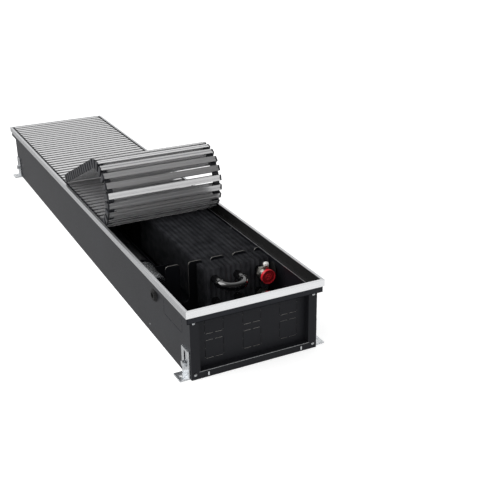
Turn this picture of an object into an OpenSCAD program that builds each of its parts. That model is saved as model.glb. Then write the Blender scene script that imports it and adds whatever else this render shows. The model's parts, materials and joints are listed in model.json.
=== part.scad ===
// Trench convector heater: a black sheet casing sunk in the floor holds a finned pipe
// heat exchanger and a cross-flow fan, under an aluminium frame with a roll-up grille
// that lies partly rolled back on itself. Long axis on Y, pipe end at -Y, floor at Z = 0.

/* [Frame] */
// Width over the frame
frame_w = 250; // [240:10:320]
// Length over the frame
frame_l = 1200; // [1130:35:1410]
// Height from the underside of the casing to the top of the frame
frame_h = 130; // [125:1:160]
// Wall of the frame profile
frame_t = 1.5; // [1.2:0.1:2]
// Width of the frame's bright top lip
lip_w = 5; // [4:0.5:7]
// Height of the frame's outer face
skirt_h = 12; // [8:1:16]
// Width of the ledge that carries the grille, inside the lip
ledge_w = 7; // [6:0.5:10]
// How far the frame stands out past the casing wall
overhang = 9; // [8:0.5:12]
// Thickness of the rubber rest strip on the ledge
strip_t = 2; // [1.5:0.5:3]

/* [Casing] */
// Sheet thickness of the casing
sheet = 1.2; // [1:0.1:2]
// Width of the casing's folded flanges at its ends
end_flange_w = 16; // [13:1:20]
// Height of the folded flange at the bottom of each end
sill_h = 13; // [10:1:16]
// Depth by which the end panels are recessed
recess = 13; // [8:1:20]
// Side of the square pipe knock-outs in the end panels
knock_w = 33; // [25:1:40]
// Distance between the columns of knock-outs
knock_pitch_x = 68.5; // [60:0.5:75]
// Distance between the rows of knock-outs
knock_pitch_z = 45; // [42:1:48]
// Length of the knock-out in each side wall
side_knock_l = 78; // [50:2:90]
// Radius of the hole for the cable grommet
grommet_r = 10; // [8:0.5:11]
// Distance from the end of the casing to the middle of the grommets
grommet_inset = 151; // [148:1:160]
// Distance from the top of the casing to the middle of the grommets
grommet_drop = 20; // [18:1:26]

/* [Grille] */
// Distance from slat to slat
slat_pitch = 17.5; // [16.5:0.5:18.5]
// Height of a slat
slat_h = 18; // [17:0.5:20]
// Width of a slat's flanges
slat_w = 10; // [9:0.5:11]
// Thickness of a slat's flanges
flange_t = 1.5; // [1.2:0.1:2]
// Thickness of a slat's web
web_t = 2; // [1.5:0.1:2.5]
// Gap between the ends of the slats and the frame
slat_end_gap = 1.5; // [1:0.25:3]
// Number of slats that are rolled back
n_roll = 25; // [24:1:26]
// Hinges that make the bend of the roll
n_bend = 12; // [12:1:12]
// Radius of the hinge knuckles
knuckle_r = 4.5; // [4:0.1:4.8]
// Radius of the hinge pins
pin_r = 1.5; // [1.2:0.1:2]
// Width of a hinge's middle knuckle
eye_w = 4; // [3:0.25:5]
// Width of each outer knuckle
ear_w = 3.2; // [2.5:0.1:4]
// Thickness of the cap on a slat's end
cap_t = 2; // [1.5:0.25:3]

/* [Heat exchanger] */
// Distance between the pipes, both ways
pipe_pitch = 44; // [40:1:44]
// Outer radius of the pipes
pipe_r = 7.5; // [6:0.25:8]
// Wall of the pipes
pipe_t = 1; // [0.8:0.1:1.5]
// Distance from the outer pipes to the edge of the fins
fin_margin = 20; // [14:1:20]
// Gap between the fins and the right-hand wall
pack_gap = 3.8; // [3.4:0.2:6]
// Height of the underside of the fins
pack_z0 = 22; // [18:1:24]
// Gap between the top of the fins and the slats
pack_drop = 5.8; // [5:0.2:8]
// Distance between the fins of the pack
fin_pitch = 8; // [8:1:8]
// Thickness of a fin
fin_t = 0.5; // [0.4:0.1:1]
// Distance from the near end of the casing to the first fin
fin_start = 164; // [155:1:175]
// Wall of the collars that join the fins on the pipes
collar_t = 0.4; // [0.3:0.1:0.6]
// Length of the return bends past the fins, without the bend itself
stub_l = 24; // [18:1:26]
// Minor radius of the pipe connections' thread
port_r = 9.3; // [9:0.05:9.6]
// Outer radius of the pipe connections
port_out_r = 12; // [11.5:0.25:13]

/* [Fan] */
// Radius of the impeller
fan_r = 23.5; // [20:0.5:23.5]
// Height of the fan's axis
fan_z = 64; // [60:1:68]
// Number of impeller blades
blade_n = 20; // [16:1:24]
// Depth of the impeller blades
blade_d = 6; // [4:0.5:8]
// Radius of the fan's shaft
shaft_r = 3; // [2.5:0.25:4]
// Radius of the motor
motor_r = 23; // [18:0.5:23.5]
// Length of the motor
motor_l = 65; // [50:1:66]

/* [Feet] */
// Width of a foot bracket
foot_w = 27; // [22:1:32]
// Height of a foot bracket
foot_h = 52; // [50:1:60]
// Reach of a foot bracket past the casing wall
foot_reach = 19; // [17:1:25]
// Thickness of a foot bracket
foot_t = 3; // [2:0.25:4]
// Travel of a foot in its slot
foot_travel = 20; // [15:1:20]
// Height of the foot's clamp bolt
bolt_z = 25; // [23:1:26]
// Radius of the clamp bolt
bolt_r = 3; // [2.5:0.25:3.5]
// Radius of the hole in the foot plate
foot_hole_r = 3.5; // [3:0.25:4.5]
// Distance from the end of the casing to the middle of a foot
foot_inset = 18; // [16:1:30]

/* [Hidden] */

$fn = 48;
fit = 0.05;          // running clearance of pins, shafts and pipes
seat = 0.3;          // gap under a piece that rests on another
cut = 1;             // how far a cutting tool runs past the face it cuts

// Colours, as the photograph shows them
c_black = [0.09, 0.09, 0.10];
c_alu = [0.80, 0.81, 0.83];
c_zinc = [0.72, 0.73, 0.74];
c_rubber = [0.05, 0.05, 0.05];
c_red = [0.86, 0.16, 0.20];

// Casing
half_w = frame_w/2 - overhang;             // outer face of the side walls
half_l = frame_l/2 - overhang;             // outer face of the ends
in_w = half_w - sheet;                     // inner face of the side walls
leg_x = frame_w/2 - lip_w;                 // inner face of the frame's leg
ledge_x = leg_x - ledge_w;                 // inner edge of the ledge
top_drop = 0.2;                            // slats lie this far under the frame's top
slat_top = frame_h - top_drop;
slat_bot = slat_top - slat_h;
strip_top = slat_bot - seat;
ledge_z = strip_top - strip_t;             // top of the ledge
wall_top = ledge_z - frame_t;              // top of the casing, under the ledge
top_flange = 5;                            // casing's outward flange under the ledge
pocket_w = half_w - end_flange_w;          // half width of the recess in the ends
web_y = half_l - recess;                   // face of the recessed end panel
knock_z = wall_top - 43;                   // middle of the knock-out rows
slot_w = 0.8;                              // laser-cut slot round a knock-out
bridge = 3.5;                              // metal left between two slots
side_knock_y = half_l - 71;                // middle of the side knock-out
side_knock_h = 34;                         // height of the side knock-out
grommet_y = -(half_l - grommet_inset);
grommet_z = wall_top - grommet_drop;

// Casing fasteners
screw_r = 1.5;
screw_head_r = 2.6;
screw_head_t = 1.6;
frame_screw_x = half_w + 2.4;
frame_screw_head_r = 2.2;
frame_screw_n = 6;
end_screw_x = half_w - 7;
end_screw_z = [9, wall_top - 5];
sill_rivet_x = 86;
left_screw_inset = 186;                    // from the casing's end to a screw in the wall
right_screw_inset = 328;
wall_screws = [[-1, left_screw_inset - half_l, 15],
               [1, right_screw_inset - half_l, wall_top - 5]];

// Grille
zp = slat_bot + slat_h/2;                  // height of the hinge line
row_gap = 1;                               // least gap at each end of the row of slats
n_slats = floor((2*leg_x + frame_l - frame_w - slat_w - 2*row_gap)/slat_pitch) + 1;
slat_y0 = -(n_slats - 1)*slat_pitch/2;     // middle of the first slat
slat_len = 2*(leg_x - slat_end_gap);       // over the end caps
link_w = eye_w + 2*ear_w + 2*seat;         // width of a hinge
inner_h = slat_h - 2*flange_t;             // between a slat's flanges
knuckle_gap = 0.85;
block_y = slat_pitch/2 - knuckle_r - knuckle_gap;  // face of a link's block
roll_y = slat_y0 + (n_roll - 0.5)*slat_pitch;  // first hinge of the roll

// Angle that slat k of the roll has turned, with an angle b at each hinge of the bend
function turned(k, b) = min(k, n_bend)*b;
// Hinge line after slat n of the roll
function hinge_at(n, b) = [
    roll_y - slat_pitch*sum([for (k = [1 : n]) cos(turned(k, b))]),
    zp + slat_pitch*sum([for (k = [1 : n]) sin(turned(k, b))])];
function sum(v, i = 0) = i < len(v) ? v[i] + sum(v, i + 1) : 0;
// Lowest point of the last slat, which lies upside down on the flat grille
function tail_low(b) = hinge_at(n_roll - 1, b)[1] + slat_pitch/2*sin(turned(n_roll, b))
    + slat_h/2*cos(turned(n_roll, b)) - abs(slat_w/2*sin(turned(n_roll, b)));
// Angle of the bend's hinges at which the tail comes to rest on the flat grille
function bend_for(lo, hi, n = 24) = n == 0 ? (lo + hi)/2
    : tail_low((lo + hi)/2) > slat_top + seat ? bend_for((lo + hi)/2, hi, n - 1)
    : bend_for(lo, (lo + hi)/2, n - 1);
bend_angle = bend_for(16, 19);
echo(n_slats = n_slats, bend_angle = bend_angle);
echo(hinges = [for (k = [0 : n_bend - 1]) hinge_at(k, bend_angle)]);

// Heat exchanger
fin_y0 = -half_l + fin_start;
bend_gap = 3;                              // between the far bends and the end panel
fin_room = web_y - sheet - bend_gap - pipe_r - pipe_pitch/2 - stub_l - fin_y0;
fin_n = floor(fin_room/fin_pitch) + 1;
fin_y1 = fin_y0 + (fin_n - 1)*fin_pitch;
pack_h = slat_bot - pack_drop - pack_z0;
pack_w = 2*pipe_pitch + 2*fin_margin;
pack_x = in_w - pack_gap - pack_w/2;       // middle of the middle pipe column
pipe_z = pack_z0 + (pack_h - pipe_pitch)/2;    // height of the lower pipes
bore_r = pipe_r + fit;
collar_r = bore_r + collar_t;
pipe_x = [for (i = [-1 : 1]) pack_x + i*pipe_pitch];
pipe_zz = [pipe_z, pipe_z + pipe_pitch];
bend_r = pipe_pitch/2;
socket_t = 0.9;                            // wall of the sockets on the bends
socket_l = 8;
pipe_end = 12;                             // supply and return pipes past the fins
port_l = 27;                               // length of a pipe connection
port_depth = 12;                           // depth of its threaded socket
port_y = fin_y0 - pipe_end + 3;            // back of a pipe connection
port_face = port_y - port_l;
vent_y = port_face + 8;
vent_r = 5;
vent_h = 6;
knob_h = 6;
lid_wall = 1.4;                            // wall of the transport caps
lid_rim = 1.6;                             // height of the rim and rib on their face
lid_hub_r = 6;

// Braces
brace_t = 1.5;
brace_first = 4;                           // fins before the first brace
brace_fin = [for (k = [0 : 3]) brace_first + round(k*(fin_n - 2*brace_first)/3)];
brace_top = slat_bot - seat;
brace_slot_r = collar_r + seat;
brace_low = 10;                            // height of a brace under the fan
finger_round = 6;
function brace_y(k) = fin_y0 + (k + 0.5)*fin_pitch;

// Fan
scroll_gap = 1.8;
scroll_r = fan_r + scroll_gap;
scroll_t = 1;
wall_gap = 0.5;
fan_x = -in_w + wall_gap + scroll_r + scroll_t;
motor_gap = 19;                            // between the first brace and the motor
motor_end = brace_y(brace_fin[0]) + motor_gap + motor_l;   // motor's face on its bracket
bracket_t = 1.5;
bracket_l = 1.3*motor_r;                    // reach of the motor bracket's foot
motor_seam = 10;                            // from a rolled seam of the motor to its end
coupling_l = 7;
near_plate_y = motor_end + bracket_t + 8.5;
fan_y0 = near_plate_y + scroll_t + 2;
far_plate_y = brace_y(brace_fin[3]) - 25;
fan_y1 = far_plate_y - 2;
disc_t = 1;
disc_n = 9;
coupling_r = 9;
bush_r = 8;
shaft_in_motor = 20;
outlet_gap = 17;
outlet_x = pack_x - pack_w/2 - outlet_gap; // outer edge of the fan's outlet
tongue_l = 0.28*(outlet_x - fan_x - scroll_r); // lip behind the outlet

// Electrical
box_l = 60;
box_w = 34;
box_h = 28;
box_t = 2;
lid_t = 3;
box_y = -web_y + 20;
cable_r = 3;
cable_z = 16;
elbow_w = 9;                               // width of the cable's elbow at the motor

/* Profiles and small shared pieces */

// The frame's section: outer skirt, top lip, inner leg and grille ledge
module frame_profile()
    polygon([[0, frame_h - skirt_h], [frame_t, frame_h - skirt_h],
             [frame_t, frame_h - frame_t], [lip_w - frame_t, frame_h - frame_t],
             [lip_w - frame_t, wall_top], [lip_w + ledge_w, wall_top],
             [lip_w + ledge_w, ledge_z], [lip_w, ledge_z], [lip_w, frame_h],
             [0, frame_h]]);

// One mitred bar along Y, outer face at x = 0
module frame_bar(l) {
    reach = lip_w + ledge_w + cut;
    intersection() {
        rotate([90, 0, 0]) linear_extrude(l + 2*cut, center = true) frame_profile();
        linear_extrude(frame_h + cut)
            polygon([[-cut, -l/2 - cut], [-cut, l/2 + cut],
                     [reach, l/2 - reach], [reach, -l/2 + reach]]);
    }
}

// Places of the screws that hold the frame, along one side
function frame_screw_ys() = [for (i = [0 : frame_screw_n - 1])
    (i/(frame_screw_n - 1) - 0.5)*(2*half_l - 80)];

module frame_side() difference() {
    translate([-frame_w/2, 0, 0]) frame_bar(frame_l);
    for (y = frame_screw_ys())
        translate([-frame_screw_x, y, wall_top - cut])
            cylinder(r = screw_r + fit, h = frame_t + 2*cut);
}

module frame_end() rotate([0, 0, 90]) translate([-frame_l/2, 0, 0]) frame_bar(frame_w);

// Dashed laser cut round a w by h knock-out, in the XZ plane
module knock_cut(w, h, depth) for (s = [-1, 1], k = [-1, 1]) {
    translate([k*w/4, 0, s*h/2]) cube([w/2 - bridge, depth, slot_w], center = true);
    translate([s*w/2, 0, k*h/4]) cube([slot_w, depth, h/2 - bridge], center = true);
}

// Screw with its head at z < 0 and its shank up to z = l
module screw(l, head_r = screw_head_r) {
    translate([0, 0, -screw_head_t]) cylinder(r = head_r, h = screw_head_t);
    cylinder(r = screw_r, h = l);
}

module along_y(y) translate([0, y, 0]) rotate([-90, 0, 0]) children();
module at_pipes() for (x = pipe_x, z = pipe_zz) translate([x, 0, z]) children();

/* Casing */

module tray_profile()
    polygon([[-half_w - top_flange, wall_top], [-half_w - top_flange, wall_top - sheet],
             [-half_w, wall_top - sheet], [-half_w, 0], [half_w, 0],
             [half_w, wall_top - sheet], [half_w + top_flange, wall_top - sheet],
             [half_w + top_flange, wall_top], [in_w, wall_top], [in_w, sheet],
             [-in_w, sheet], [-in_w, wall_top]]);

module casing_tray() color(c_black) difference() {
    union() {
        rotate([90, 0, 0]) linear_extrude(2*half_l, center = true) tray_profile();
        for (s = [-1, 1]) translate([0, s*(half_l - sheet/2), 0]) difference() {
            translate([-half_w, -sheet/2, 0]) cube([2*half_w, sheet, wall_top]);
            translate([-pocket_w, -sheet, sill_h]) cube([2*pocket_w, 2*sheet, wall_top]);
        }
    }
    for (s = [-1, 1], x = [-end_screw_x, end_screw_x], z = end_screw_z)
        translate([x, s*half_l, z]) rotate([90, 0, 0])
            cylinder(r = screw_r + fit, h = 4*sheet, center = true);
    for (s = [-1, 1], x = [-sill_rivet_x, sill_rivet_x])
        translate([x, s*half_l, sill_h/2]) rotate([90, 0, 0])
            cylinder(r = screw_r + fit, h = 4*sheet, center = true);
    for (s = [-1, 1]) translate([s*(half_w - sheet/2), 0, 0]) {
        translate([0, -side_knock_y, wall_top - sheet - 1 - side_knock_h/2])
            rotate([0, 0, 90]) knock_cut(side_knock_l, side_knock_h, 3*sheet);
        translate([0, grommet_y, grommet_z]) rotate([0, 90, 0])
            cylinder(r = grommet_r, h = 3*sheet, center = true);
        for (y = [-1, 1]) translate([0, y*(half_l - foot_inset), bolt_z]) rotate([0, 90, 0])
            cylinder(r = bolt_r + 2*fit, h = 3*sheet, center = true);
    }
    for (s = [-1, 1], y = frame_screw_ys())
        translate([s*frame_screw_x, y, wall_top - sheet - cut])
            cylinder(r = screw_r + fit, h = sheet + 2*cut);
    for (w = wall_screws) translate([w[0]*half_w, w[1], w[2]]) rotate([0, 90, 0])
        cylinder(r = screw_r + fit, h = 3*sheet, center = true);
}

// Recessed pan that closes one end, drawn for the front
module end_panel() {
    ring_y = half_l - sheet;
    color(c_black) difference() {
        union() {
            translate([-in_w + 0.1, -ring_y, sheet + 0.1])
                cube([2*in_w - 0.2, sheet, wall_top - sheet - 0.1]);
            translate([-pocket_w - sheet, -ring_y, sill_h - sheet])
                cube([2*(pocket_w + sheet), ring_y - web_y + sheet, wall_top - sill_h + sheet]);
        }
        translate([-pocket_w, -ring_y - cut, sill_h])
            cube([2*pocket_w, ring_y - web_y + cut, wall_top - sill_h - sheet]);
        for (i = [-1 : 1], j = [-1, 1])
            translate([i*knock_pitch_x, -web_y, knock_z + j*knock_pitch_z/2])
                knock_cut(knock_w, knock_w, 4*sheet);
        for (x = [-end_screw_x, end_screw_x], z = end_screw_z)
            translate([x, -ring_y, z]) rotate([90, 0, 0])
                cylinder(r = screw_r + fit, h = 4*sheet, center = true);
        for (x = [-sill_rivet_x, sill_rivet_x])
            translate([x, -ring_y, sill_h/2]) rotate([90, 0, 0])
                cylinder(r = screw_r + fit, h = 4*sheet, center = true);
    }
}
module end_panel_front() end_panel();
module end_panel_rear() rotate([0, 0, 180]) end_panel();

module casing_screws() color(c_zinc) {
    for (s = [-1, 1]) rotate([0, 0, 90 + 90*s]) translate([0, -half_l, 0]) {
        for (x = [-end_screw_x, end_screw_x], z = end_screw_z)
            translate([x, 0, z]) rotate([-90, 0, 0]) screw(4*sheet);
        for (x = [-sill_rivet_x, sill_rivet_x])
            translate([x, 0, sill_h/2]) rotate([-90, 0, 0]) screw(3*sheet);
    }
    for (s = [-1, 1], y = frame_screw_ys())
        translate([s*frame_screw_x, y, wall_top - sheet])
            screw(sheet + frame_t, frame_screw_head_r);
    for (w = wall_screws) translate([w[0]*in_w, w[1], w[2]]) rotate([0, w[0]*90, 0])
        screw(sheet);
}

/* Frame */

module frame_left() color(c_alu) frame_side();
module frame_right() color(c_alu) rotate([0, 0, 180]) frame_side();
module frame_front() color(c_alu) frame_end();
module frame_rear() color(c_alu) rotate([0, 0, 180]) frame_end();

// Rubber strips that the slats rest on
module rest_strips() color(c_rubber) {
    strip_w = ledge_w - 1;
    end_y = frame_l/2 - lip_w;
    for (s = [-1, 1]) {
        translate([s*(leg_x - strip_w/2), 0, ledge_z + strip_t/2])
            cube([strip_w, 2*end_y, strip_t], center = true);
        translate([0, s*(end_y - strip_w/2), ledge_z + strip_t/2])
            cube([2*(leg_x - strip_w - seat), strip_w, strip_t], center = true);
    }
}

/* Heat exchanger */

// Comb plate in the XZ plane that carries the pipes and the grille's middle
module brace_outline(first) difference() {
    x0 = pack_x + (first - 2)*pipe_pitch + brace_slot_r;
    right = in_w - seat;
    union() {
        translate([-right, sheet]) square([2*right, brace_low - sheet]);
        translate([x0, sheet]) square([right - x0, pipe_z - sheet]);
        for (k = [first : 3]) {
            a = pack_x + (k - 2)*pipe_pitch + brace_slot_r;
            b = min(ledge_x - seat, a + pipe_pitch - 2*brace_slot_r);
            r = finger_round;
            translate([a, pipe_z - cut]) square([b - a, brace_top - r - pipe_z + cut]);
            translate([a + r, pipe_z]) square([b - a - 2*r, brace_top - pipe_z]);
            for (x = [a + r, b - r]) translate([x, brace_top - r]) circle(r);
        }
    }
    for (k = [first : 2])
        translate([pack_x + (k - 1)*pipe_pitch, pipe_z]) circle(brace_slot_r);
}
module brace(first) {
    rotate([90, 0, 0]) linear_extrude(brace_t, center = true) brace_outline(first);
    translate([outlet_x + 2, 0, sheet]) cube([in_w - outlet_x - 8, 12, brace_t]);
}
module braces() color(c_black)
    for (k = brace_fin) translate([0, brace_y(k), 0])
        brace(k == brace_fin[0] || k == brace_fin[3] ? -1 : 0);

module fin_pack() color(c_black) difference() {
    union() {
        for (k = [0 : fin_n - 1]) translate([pack_x - pack_w/2, fin_y0 + k*fin_pitch, pack_z0])
            cube([pack_w, fin_t, pack_h]);
        at_pipes() along_y(fin_y0) cylinder(r = collar_r, h = fin_y1 - fin_y0 + fin_t);
    }
    at_pipes() along_y(fin_y0 - cut) cylinder(r = bore_r, h = fin_y1 - fin_y0 + 2*cut + fin_t);
}

// Straight pipe from y0 to y1
module pipe(y0, y1) along_y(y0) difference() {
    cylinder(r = pipe_r, h = y1 - y0);
    translate([0, 0, -cut]) cylinder(r = pipe_r - pipe_t, h = y1 - y0 + 2*cut);
}
module pipes() color(c_black) for (i = [0 : 2], z = pipe_zz)
    translate([pipe_x[i], 0, z])
        pipe(fin_y0 - (i == 2 ? pipe_end : stub_l), fin_y1 + stub_l);

// Half-turn bend in the XY plane, its ends on the X axis and its sockets towards -Y
module return_bend() {
    rotate_extrude(angle = 180) translate([bend_r, 0]) difference() {
        circle(pipe_r);
        circle(pipe_r - pipe_t);
    }
    for (s = [-1, 1]) translate([s*bend_r, 0, 0]) rotate([90, 0, 0])
        translate([0, 0, -1]) difference() {
            cylinder(r = bore_r + socket_t, h = socket_l + 1);
            translate([0, 0, 1]) cylinder(r = bore_r, h = socket_l + cut);
            translate([0, 0, -cut]) cylinder(r = pipe_r - pipe_t, h = 3*cut);
        }
}
module return_bends() color(c_black) {
    mid = (pipe_zz[0] + pipe_zz[1])/2;
    for (z = pipe_zz) {
        translate([(pipe_x[0] + pipe_x[1])/2, fin_y0 - stub_l, z]) rotate([0, 0, 180])
            return_bend();
        translate([(pipe_x[1] + pipe_x[2])/2, fin_y1 + stub_l, z]) return_bend();
    }
    translate([pipe_x[0], fin_y1 + stub_l, mid]) rotate([0, 90, 0]) return_bend();
}

// Pipe connections: a threaded mouth towards -Y, and behind it a hexagon tail on the pipe
module pipe_fittings() color(c_zinc) for (z = pipe_zz) translate([pipe_x[2], 0, z]) {
    tail_y = port_face + port_depth + seat;
    tail_l = port_y - tail_y;
    difference() {
        union() {
            along_y(port_face) cylinder(r = port_out_r, h = port_depth);
            if (z == pipe_zz[1]) intersection() {
                translate([0, vent_y, 0]) cylinder(r = vent_r, h = port_out_r + 1);
                along_y(port_face) cylinder(r = port_out_r + 2, h = port_depth);
            }
        }
        along_y(port_face - cut) cylinder(r = port_r, h = port_depth + 2*cut);
        if (z == pipe_zz[1])
            translate([0, vent_y, 0]) cylinder(r = 1.5, h = port_out_r + 1 + cut);
    }
    along_y(tail_y) difference() {
        union() {
            cylinder(r = port_out_r*1.12, h = tail_l/2, $fn = 6);
            cylinder(r = bore_r + 1.5, h = tail_l);
        }
        translate([0, 0, -cut]) cylinder(r = pipe_r - pipe_t, h = tail_l + 2*cut);
        translate([0, 0, tail_l - 10]) cylinder(r = bore_r, h = 10 + cut);
    }
}

vent_z = pipe_zz[1] + port_out_r + 1;

// Manual air vent: a small hexagon body with a spout on the supply connection
module air_vent_body() color(c_zinc) translate([pipe_x[2], vent_y, vent_z]) difference() {
    union() {
        cylinder(r = vent_r*1.1, h = vent_h - 2, $fn = 6);
        cylinder(r = vent_r - 1, h = vent_h);
        translate([0, 0, vent_h/2 - 1]) rotate([0, -90, 0]) cylinder(r = 1.4, h = vent_r + 4);
    }
    translate([0, 0, -cut]) cylinder(r = 1.5 + fit, h = vent_h + 2*cut);
}

// White thumb screw of the vent
module bleed_screw() color("white") translate([pipe_x[2], vent_y, vent_z]) {
    disc_h = knob_h - 2;
    translate([0, 0, 1]) cylinder(r = 1.5, h = vent_h);
    translate([0, 0, vent_h + seat]) difference() {
        cylinder(r = vent_r, h = disc_h);
        for (a = [0 : 60 : 300]) rotate([0, 0, a])
            translate([vent_r + 0.5, 0, -cut]) cylinder(r = 1.4, h = disc_h + 2*cut);
    }
    translate([0, 0, vent_h + disc_h - seat]) cylinder(r = vent_r*0.5, h = knob_h - disc_h);
}

// Red transport cap: a cup over the mouth of a pipe connection, with a rim and a cross rib
module port_cap() color(c_red) {
    lid_y = port_face - seat - lid_wall;
    lid_r = port_out_r + fit + lid_wall;
    along_y(lid_y) difference() {
        cylinder(r = lid_r, h = vent_y - vent_r - seat - lid_y);
        translate([0, 0, lid_wall]) cylinder(r = port_out_r + fit, h = port_l);
    }
    along_y(lid_y - lid_rim) {
        difference() {
            cylinder(r = lid_r, h = lid_rim + seat);
            translate([0, 0, -cut]) cylinder(r = lid_r - lid_wall, h = lid_rim + seat + 2*cut);
        }
        difference() {
            cylinder(r = lid_hub_r, h = lid_rim + seat);
            translate([0, 0, -cut]) cylinder(r = lid_hub_r - lid_wall, h = lid_rim + cut);
        }
        for (a = [20, 110]) rotate([0, 0, a]) translate([-lid_hub_r + seat, -lid_wall/2, 0])
            cube([2*(lid_hub_r - seat), lid_wall, lid_rim + seat]);
    }
}
module supply_cap() translate([pipe_x[2], 0, pipe_zz[1]]) port_cap();
module return_cap() translate([pipe_x[2], 0, pipe_zz[0]]) port_cap();

/* Fan */

// Scroll round the back of the impeller, with the lower lip of the outlet
module scroll_profile() {
    intersection() {
        difference() {
            circle(scroll_r + scroll_t);
            circle(scroll_r);
        }
        polygon([[0, 0], [-3, 40], [-60, 40], [-60, -60], [0, -60]]);
    }
    translate([0, -scroll_r - scroll_t]) square([outlet_x - fan_x, scroll_t]);
    translate([outlet_x - fan_x - scroll_t, -scroll_r - scroll_t - 8]) square([scroll_t, 9]);
    translate([scroll_r, -3]) square([scroll_t, 14]);
    translate([scroll_r, -3]) square([tongue_l, scroll_t]);
}
module end_plate_profile(hole) difference() {
    union() {
        circle(scroll_r + scroll_t);
        translate([-scroll_r - scroll_t, sheet - fan_z])
            square([2*(scroll_r + scroll_t), fan_z - sheet]);
        translate([0, -scroll_r - scroll_t - 8])
            square([outlet_x - fan_x, scroll_r + 15]);
    }
    circle(hole);
}
module in_fan(y) translate([fan_x, y, fan_z]) rotate([90, 0, 0]) mirror([0, 0, 1]) children();

module fan_housing() color(c_black) {
    in_fan(near_plate_y)
        linear_extrude(far_plate_y - near_plate_y + scroll_t) scroll_profile();
    for (y = [near_plate_y, far_plate_y])
        in_fan(y) linear_extrude(scroll_t) end_plate_profile(coupling_r + 2);
}

// Forward-curved blade at the impeller's rim
module blade() intersection() {
    translate([fan_r - blade_d - 0.5, -blade_d*0.72]) difference() {
        circle(blade_d);
        circle(blade_d - 0.8);
    }
    translate([fan_r - blade_d, -blade_d*0.6]) square([blade_d - 0.1, 2*blade_d]);
}
module impeller() color(c_black) {
    l = fan_y1 - fan_y0;
    in_fan(fan_y0) {
        for (a = [0 : 360/blade_n : 359]) rotate([0, 0, a]) linear_extrude(l) blade();
        for (k = [0 : disc_n - 1]) translate([0, 0, k*(l - disc_t)/(disc_n - 1)])
            cylinder(r = fan_r, h = disc_t);
    }
    in_fan(motor_end - shaft_in_motor + 0.3)
        cylinder(r = shaft_r, h = fan_y0 - motor_end + shaft_in_motor);
    in_fan(fan_y1 - 0.5) cylinder(r = shaft_r, h = far_plate_y - fan_y1 + 9);
}
module drive_coupling() color(c_rubber) in_fan(motor_end + bracket_t + 0.5) difference() {
    union() {
        cylinder(r = coupling_r, h = coupling_l);
        for (a = [0 : 120 : 359]) rotate([0, 0, a]) translate([coupling_r - 1, 0, 0])
            cylinder(r = 2, h = coupling_l);
    }
    translate([0, 0, -cut]) cylinder(r = shaft_r + fit, h = coupling_l + 2*cut);
}
module fan_motor() color(c_zinc) difference() {
    in_fan(motor_end - motor_l) {
        translate([0, 0, 2]) cylinder(r = motor_r, h = motor_l - 4);
        cylinder(r = motor_r - 2, h = motor_l);
        for (z = [motor_seam, motor_l - motor_seam - 4])
            translate([0, 0, z]) cylinder(r = motor_r + 0.6, h = 4);
    }
    in_fan(motor_end - shaft_in_motor) cylinder(r = shaft_r + fit, h = shaft_in_motor + cut);
}
module motor_bracket() color(c_zinc) {
    in_fan(motor_end) linear_extrude(bracket_t) difference() {
        union() {
            circle(motor_r + 2);
            translate([-motor_r - 2, sheet - fan_z]) square([2*motor_r + 4, fan_z - sheet]);
        }
        circle(coupling_r - 2);
    }
    translate([fan_x - motor_r - 2, motor_end - bracket_l, sheet])
        cube([2*motor_r + 4, bracket_l + bracket_t, bracket_t]);
}
module bearing_plate() color(c_zinc) {
    in_fan(far_plate_y + scroll_t + 2.5) linear_extrude(bracket_t) difference() {
        union() {
            circle(bush_r + 8);
            translate([-bush_r - 8, sheet - fan_z]) square([2*bush_r + 16, fan_z - sheet]);
        }
        circle(bush_r + fit);
    }
    translate([fan_x - bush_r - 8, far_plate_y + scroll_t + 2.5, sheet])
        cube([2*bush_r + 16, 14, bracket_t]);
}
module far_bearing() color(c_rubber) in_fan(far_plate_y + scroll_t + 1.5) difference() {
    union() {
        cylinder(r = bush_r, h = 4);
        translate([0, 0, bracket_t + 1.1]) cylinder(r = bush_r + 1.5, h = 2);
    }
    translate([0, 0, -cut]) cylinder(r = shaft_r + fit, h = 6 + cut);
}

/* Electrical */

module terminal_box() color([0.3, 0.3, 0.32]) translate([fan_x, box_y, sheet]) difference() {
    translate([-box_w/2, 0, 0]) cube([box_w, box_l, box_h]);
    translate([-box_w/2 + box_t, box_t, box_t]) cube([box_w - 2*box_t, box_l - 2*box_t, box_h]);
    translate([0, box_l - box_t - cut, cable_z - sheet]) rotate([-90, 0, 0])
        cylinder(r = cable_r + fit, h = box_t + 2*cut);
}
module terminal_lid() color([0.35, 0.35, 0.37]) translate([fan_x, box_y, sheet + box_h]) {
    translate([-box_w/2, 0, 0]) cube([box_w, box_l, lid_t]);
    translate([-box_w/2 + box_t + 0.2, box_t + 0.2, -2])
        difference() {
            cube([box_w - 2*box_t - 0.4, box_l - 2*box_t - 0.4, 2]);
            translate([1.5, 1.5, -cut])
                cube([box_w - 2*box_t - 3.4, box_l - 2*box_t - 3.4, 2 + cut]);
        }
}

// Cable from the terminal box along the floor and up through an elbow into the motor
module motor_cable() color(c_rubber) {
    y0 = box_y + box_l - box_t;
    y1 = motor_end - motor_l/2;
    translate([fan_x, 0, cable_z]) {
        along_y(y0) cylinder(r = cable_r, h = y1 - y0);
        translate([0, y1, 0]) difference() {
            translate([-elbow_w/2, -elbow_w/2, -elbow_w/2])
                cube([elbow_w, elbow_w, fan_z - motor_r - seat - cable_z + elbow_w/2]);
            translate([-elbow_w, elbow_w/2, -elbow_w]) rotate([45, 0, 0])
                cube([2*elbow_w, elbow_w, elbow_w], center = true);
        }
    }
}

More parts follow.
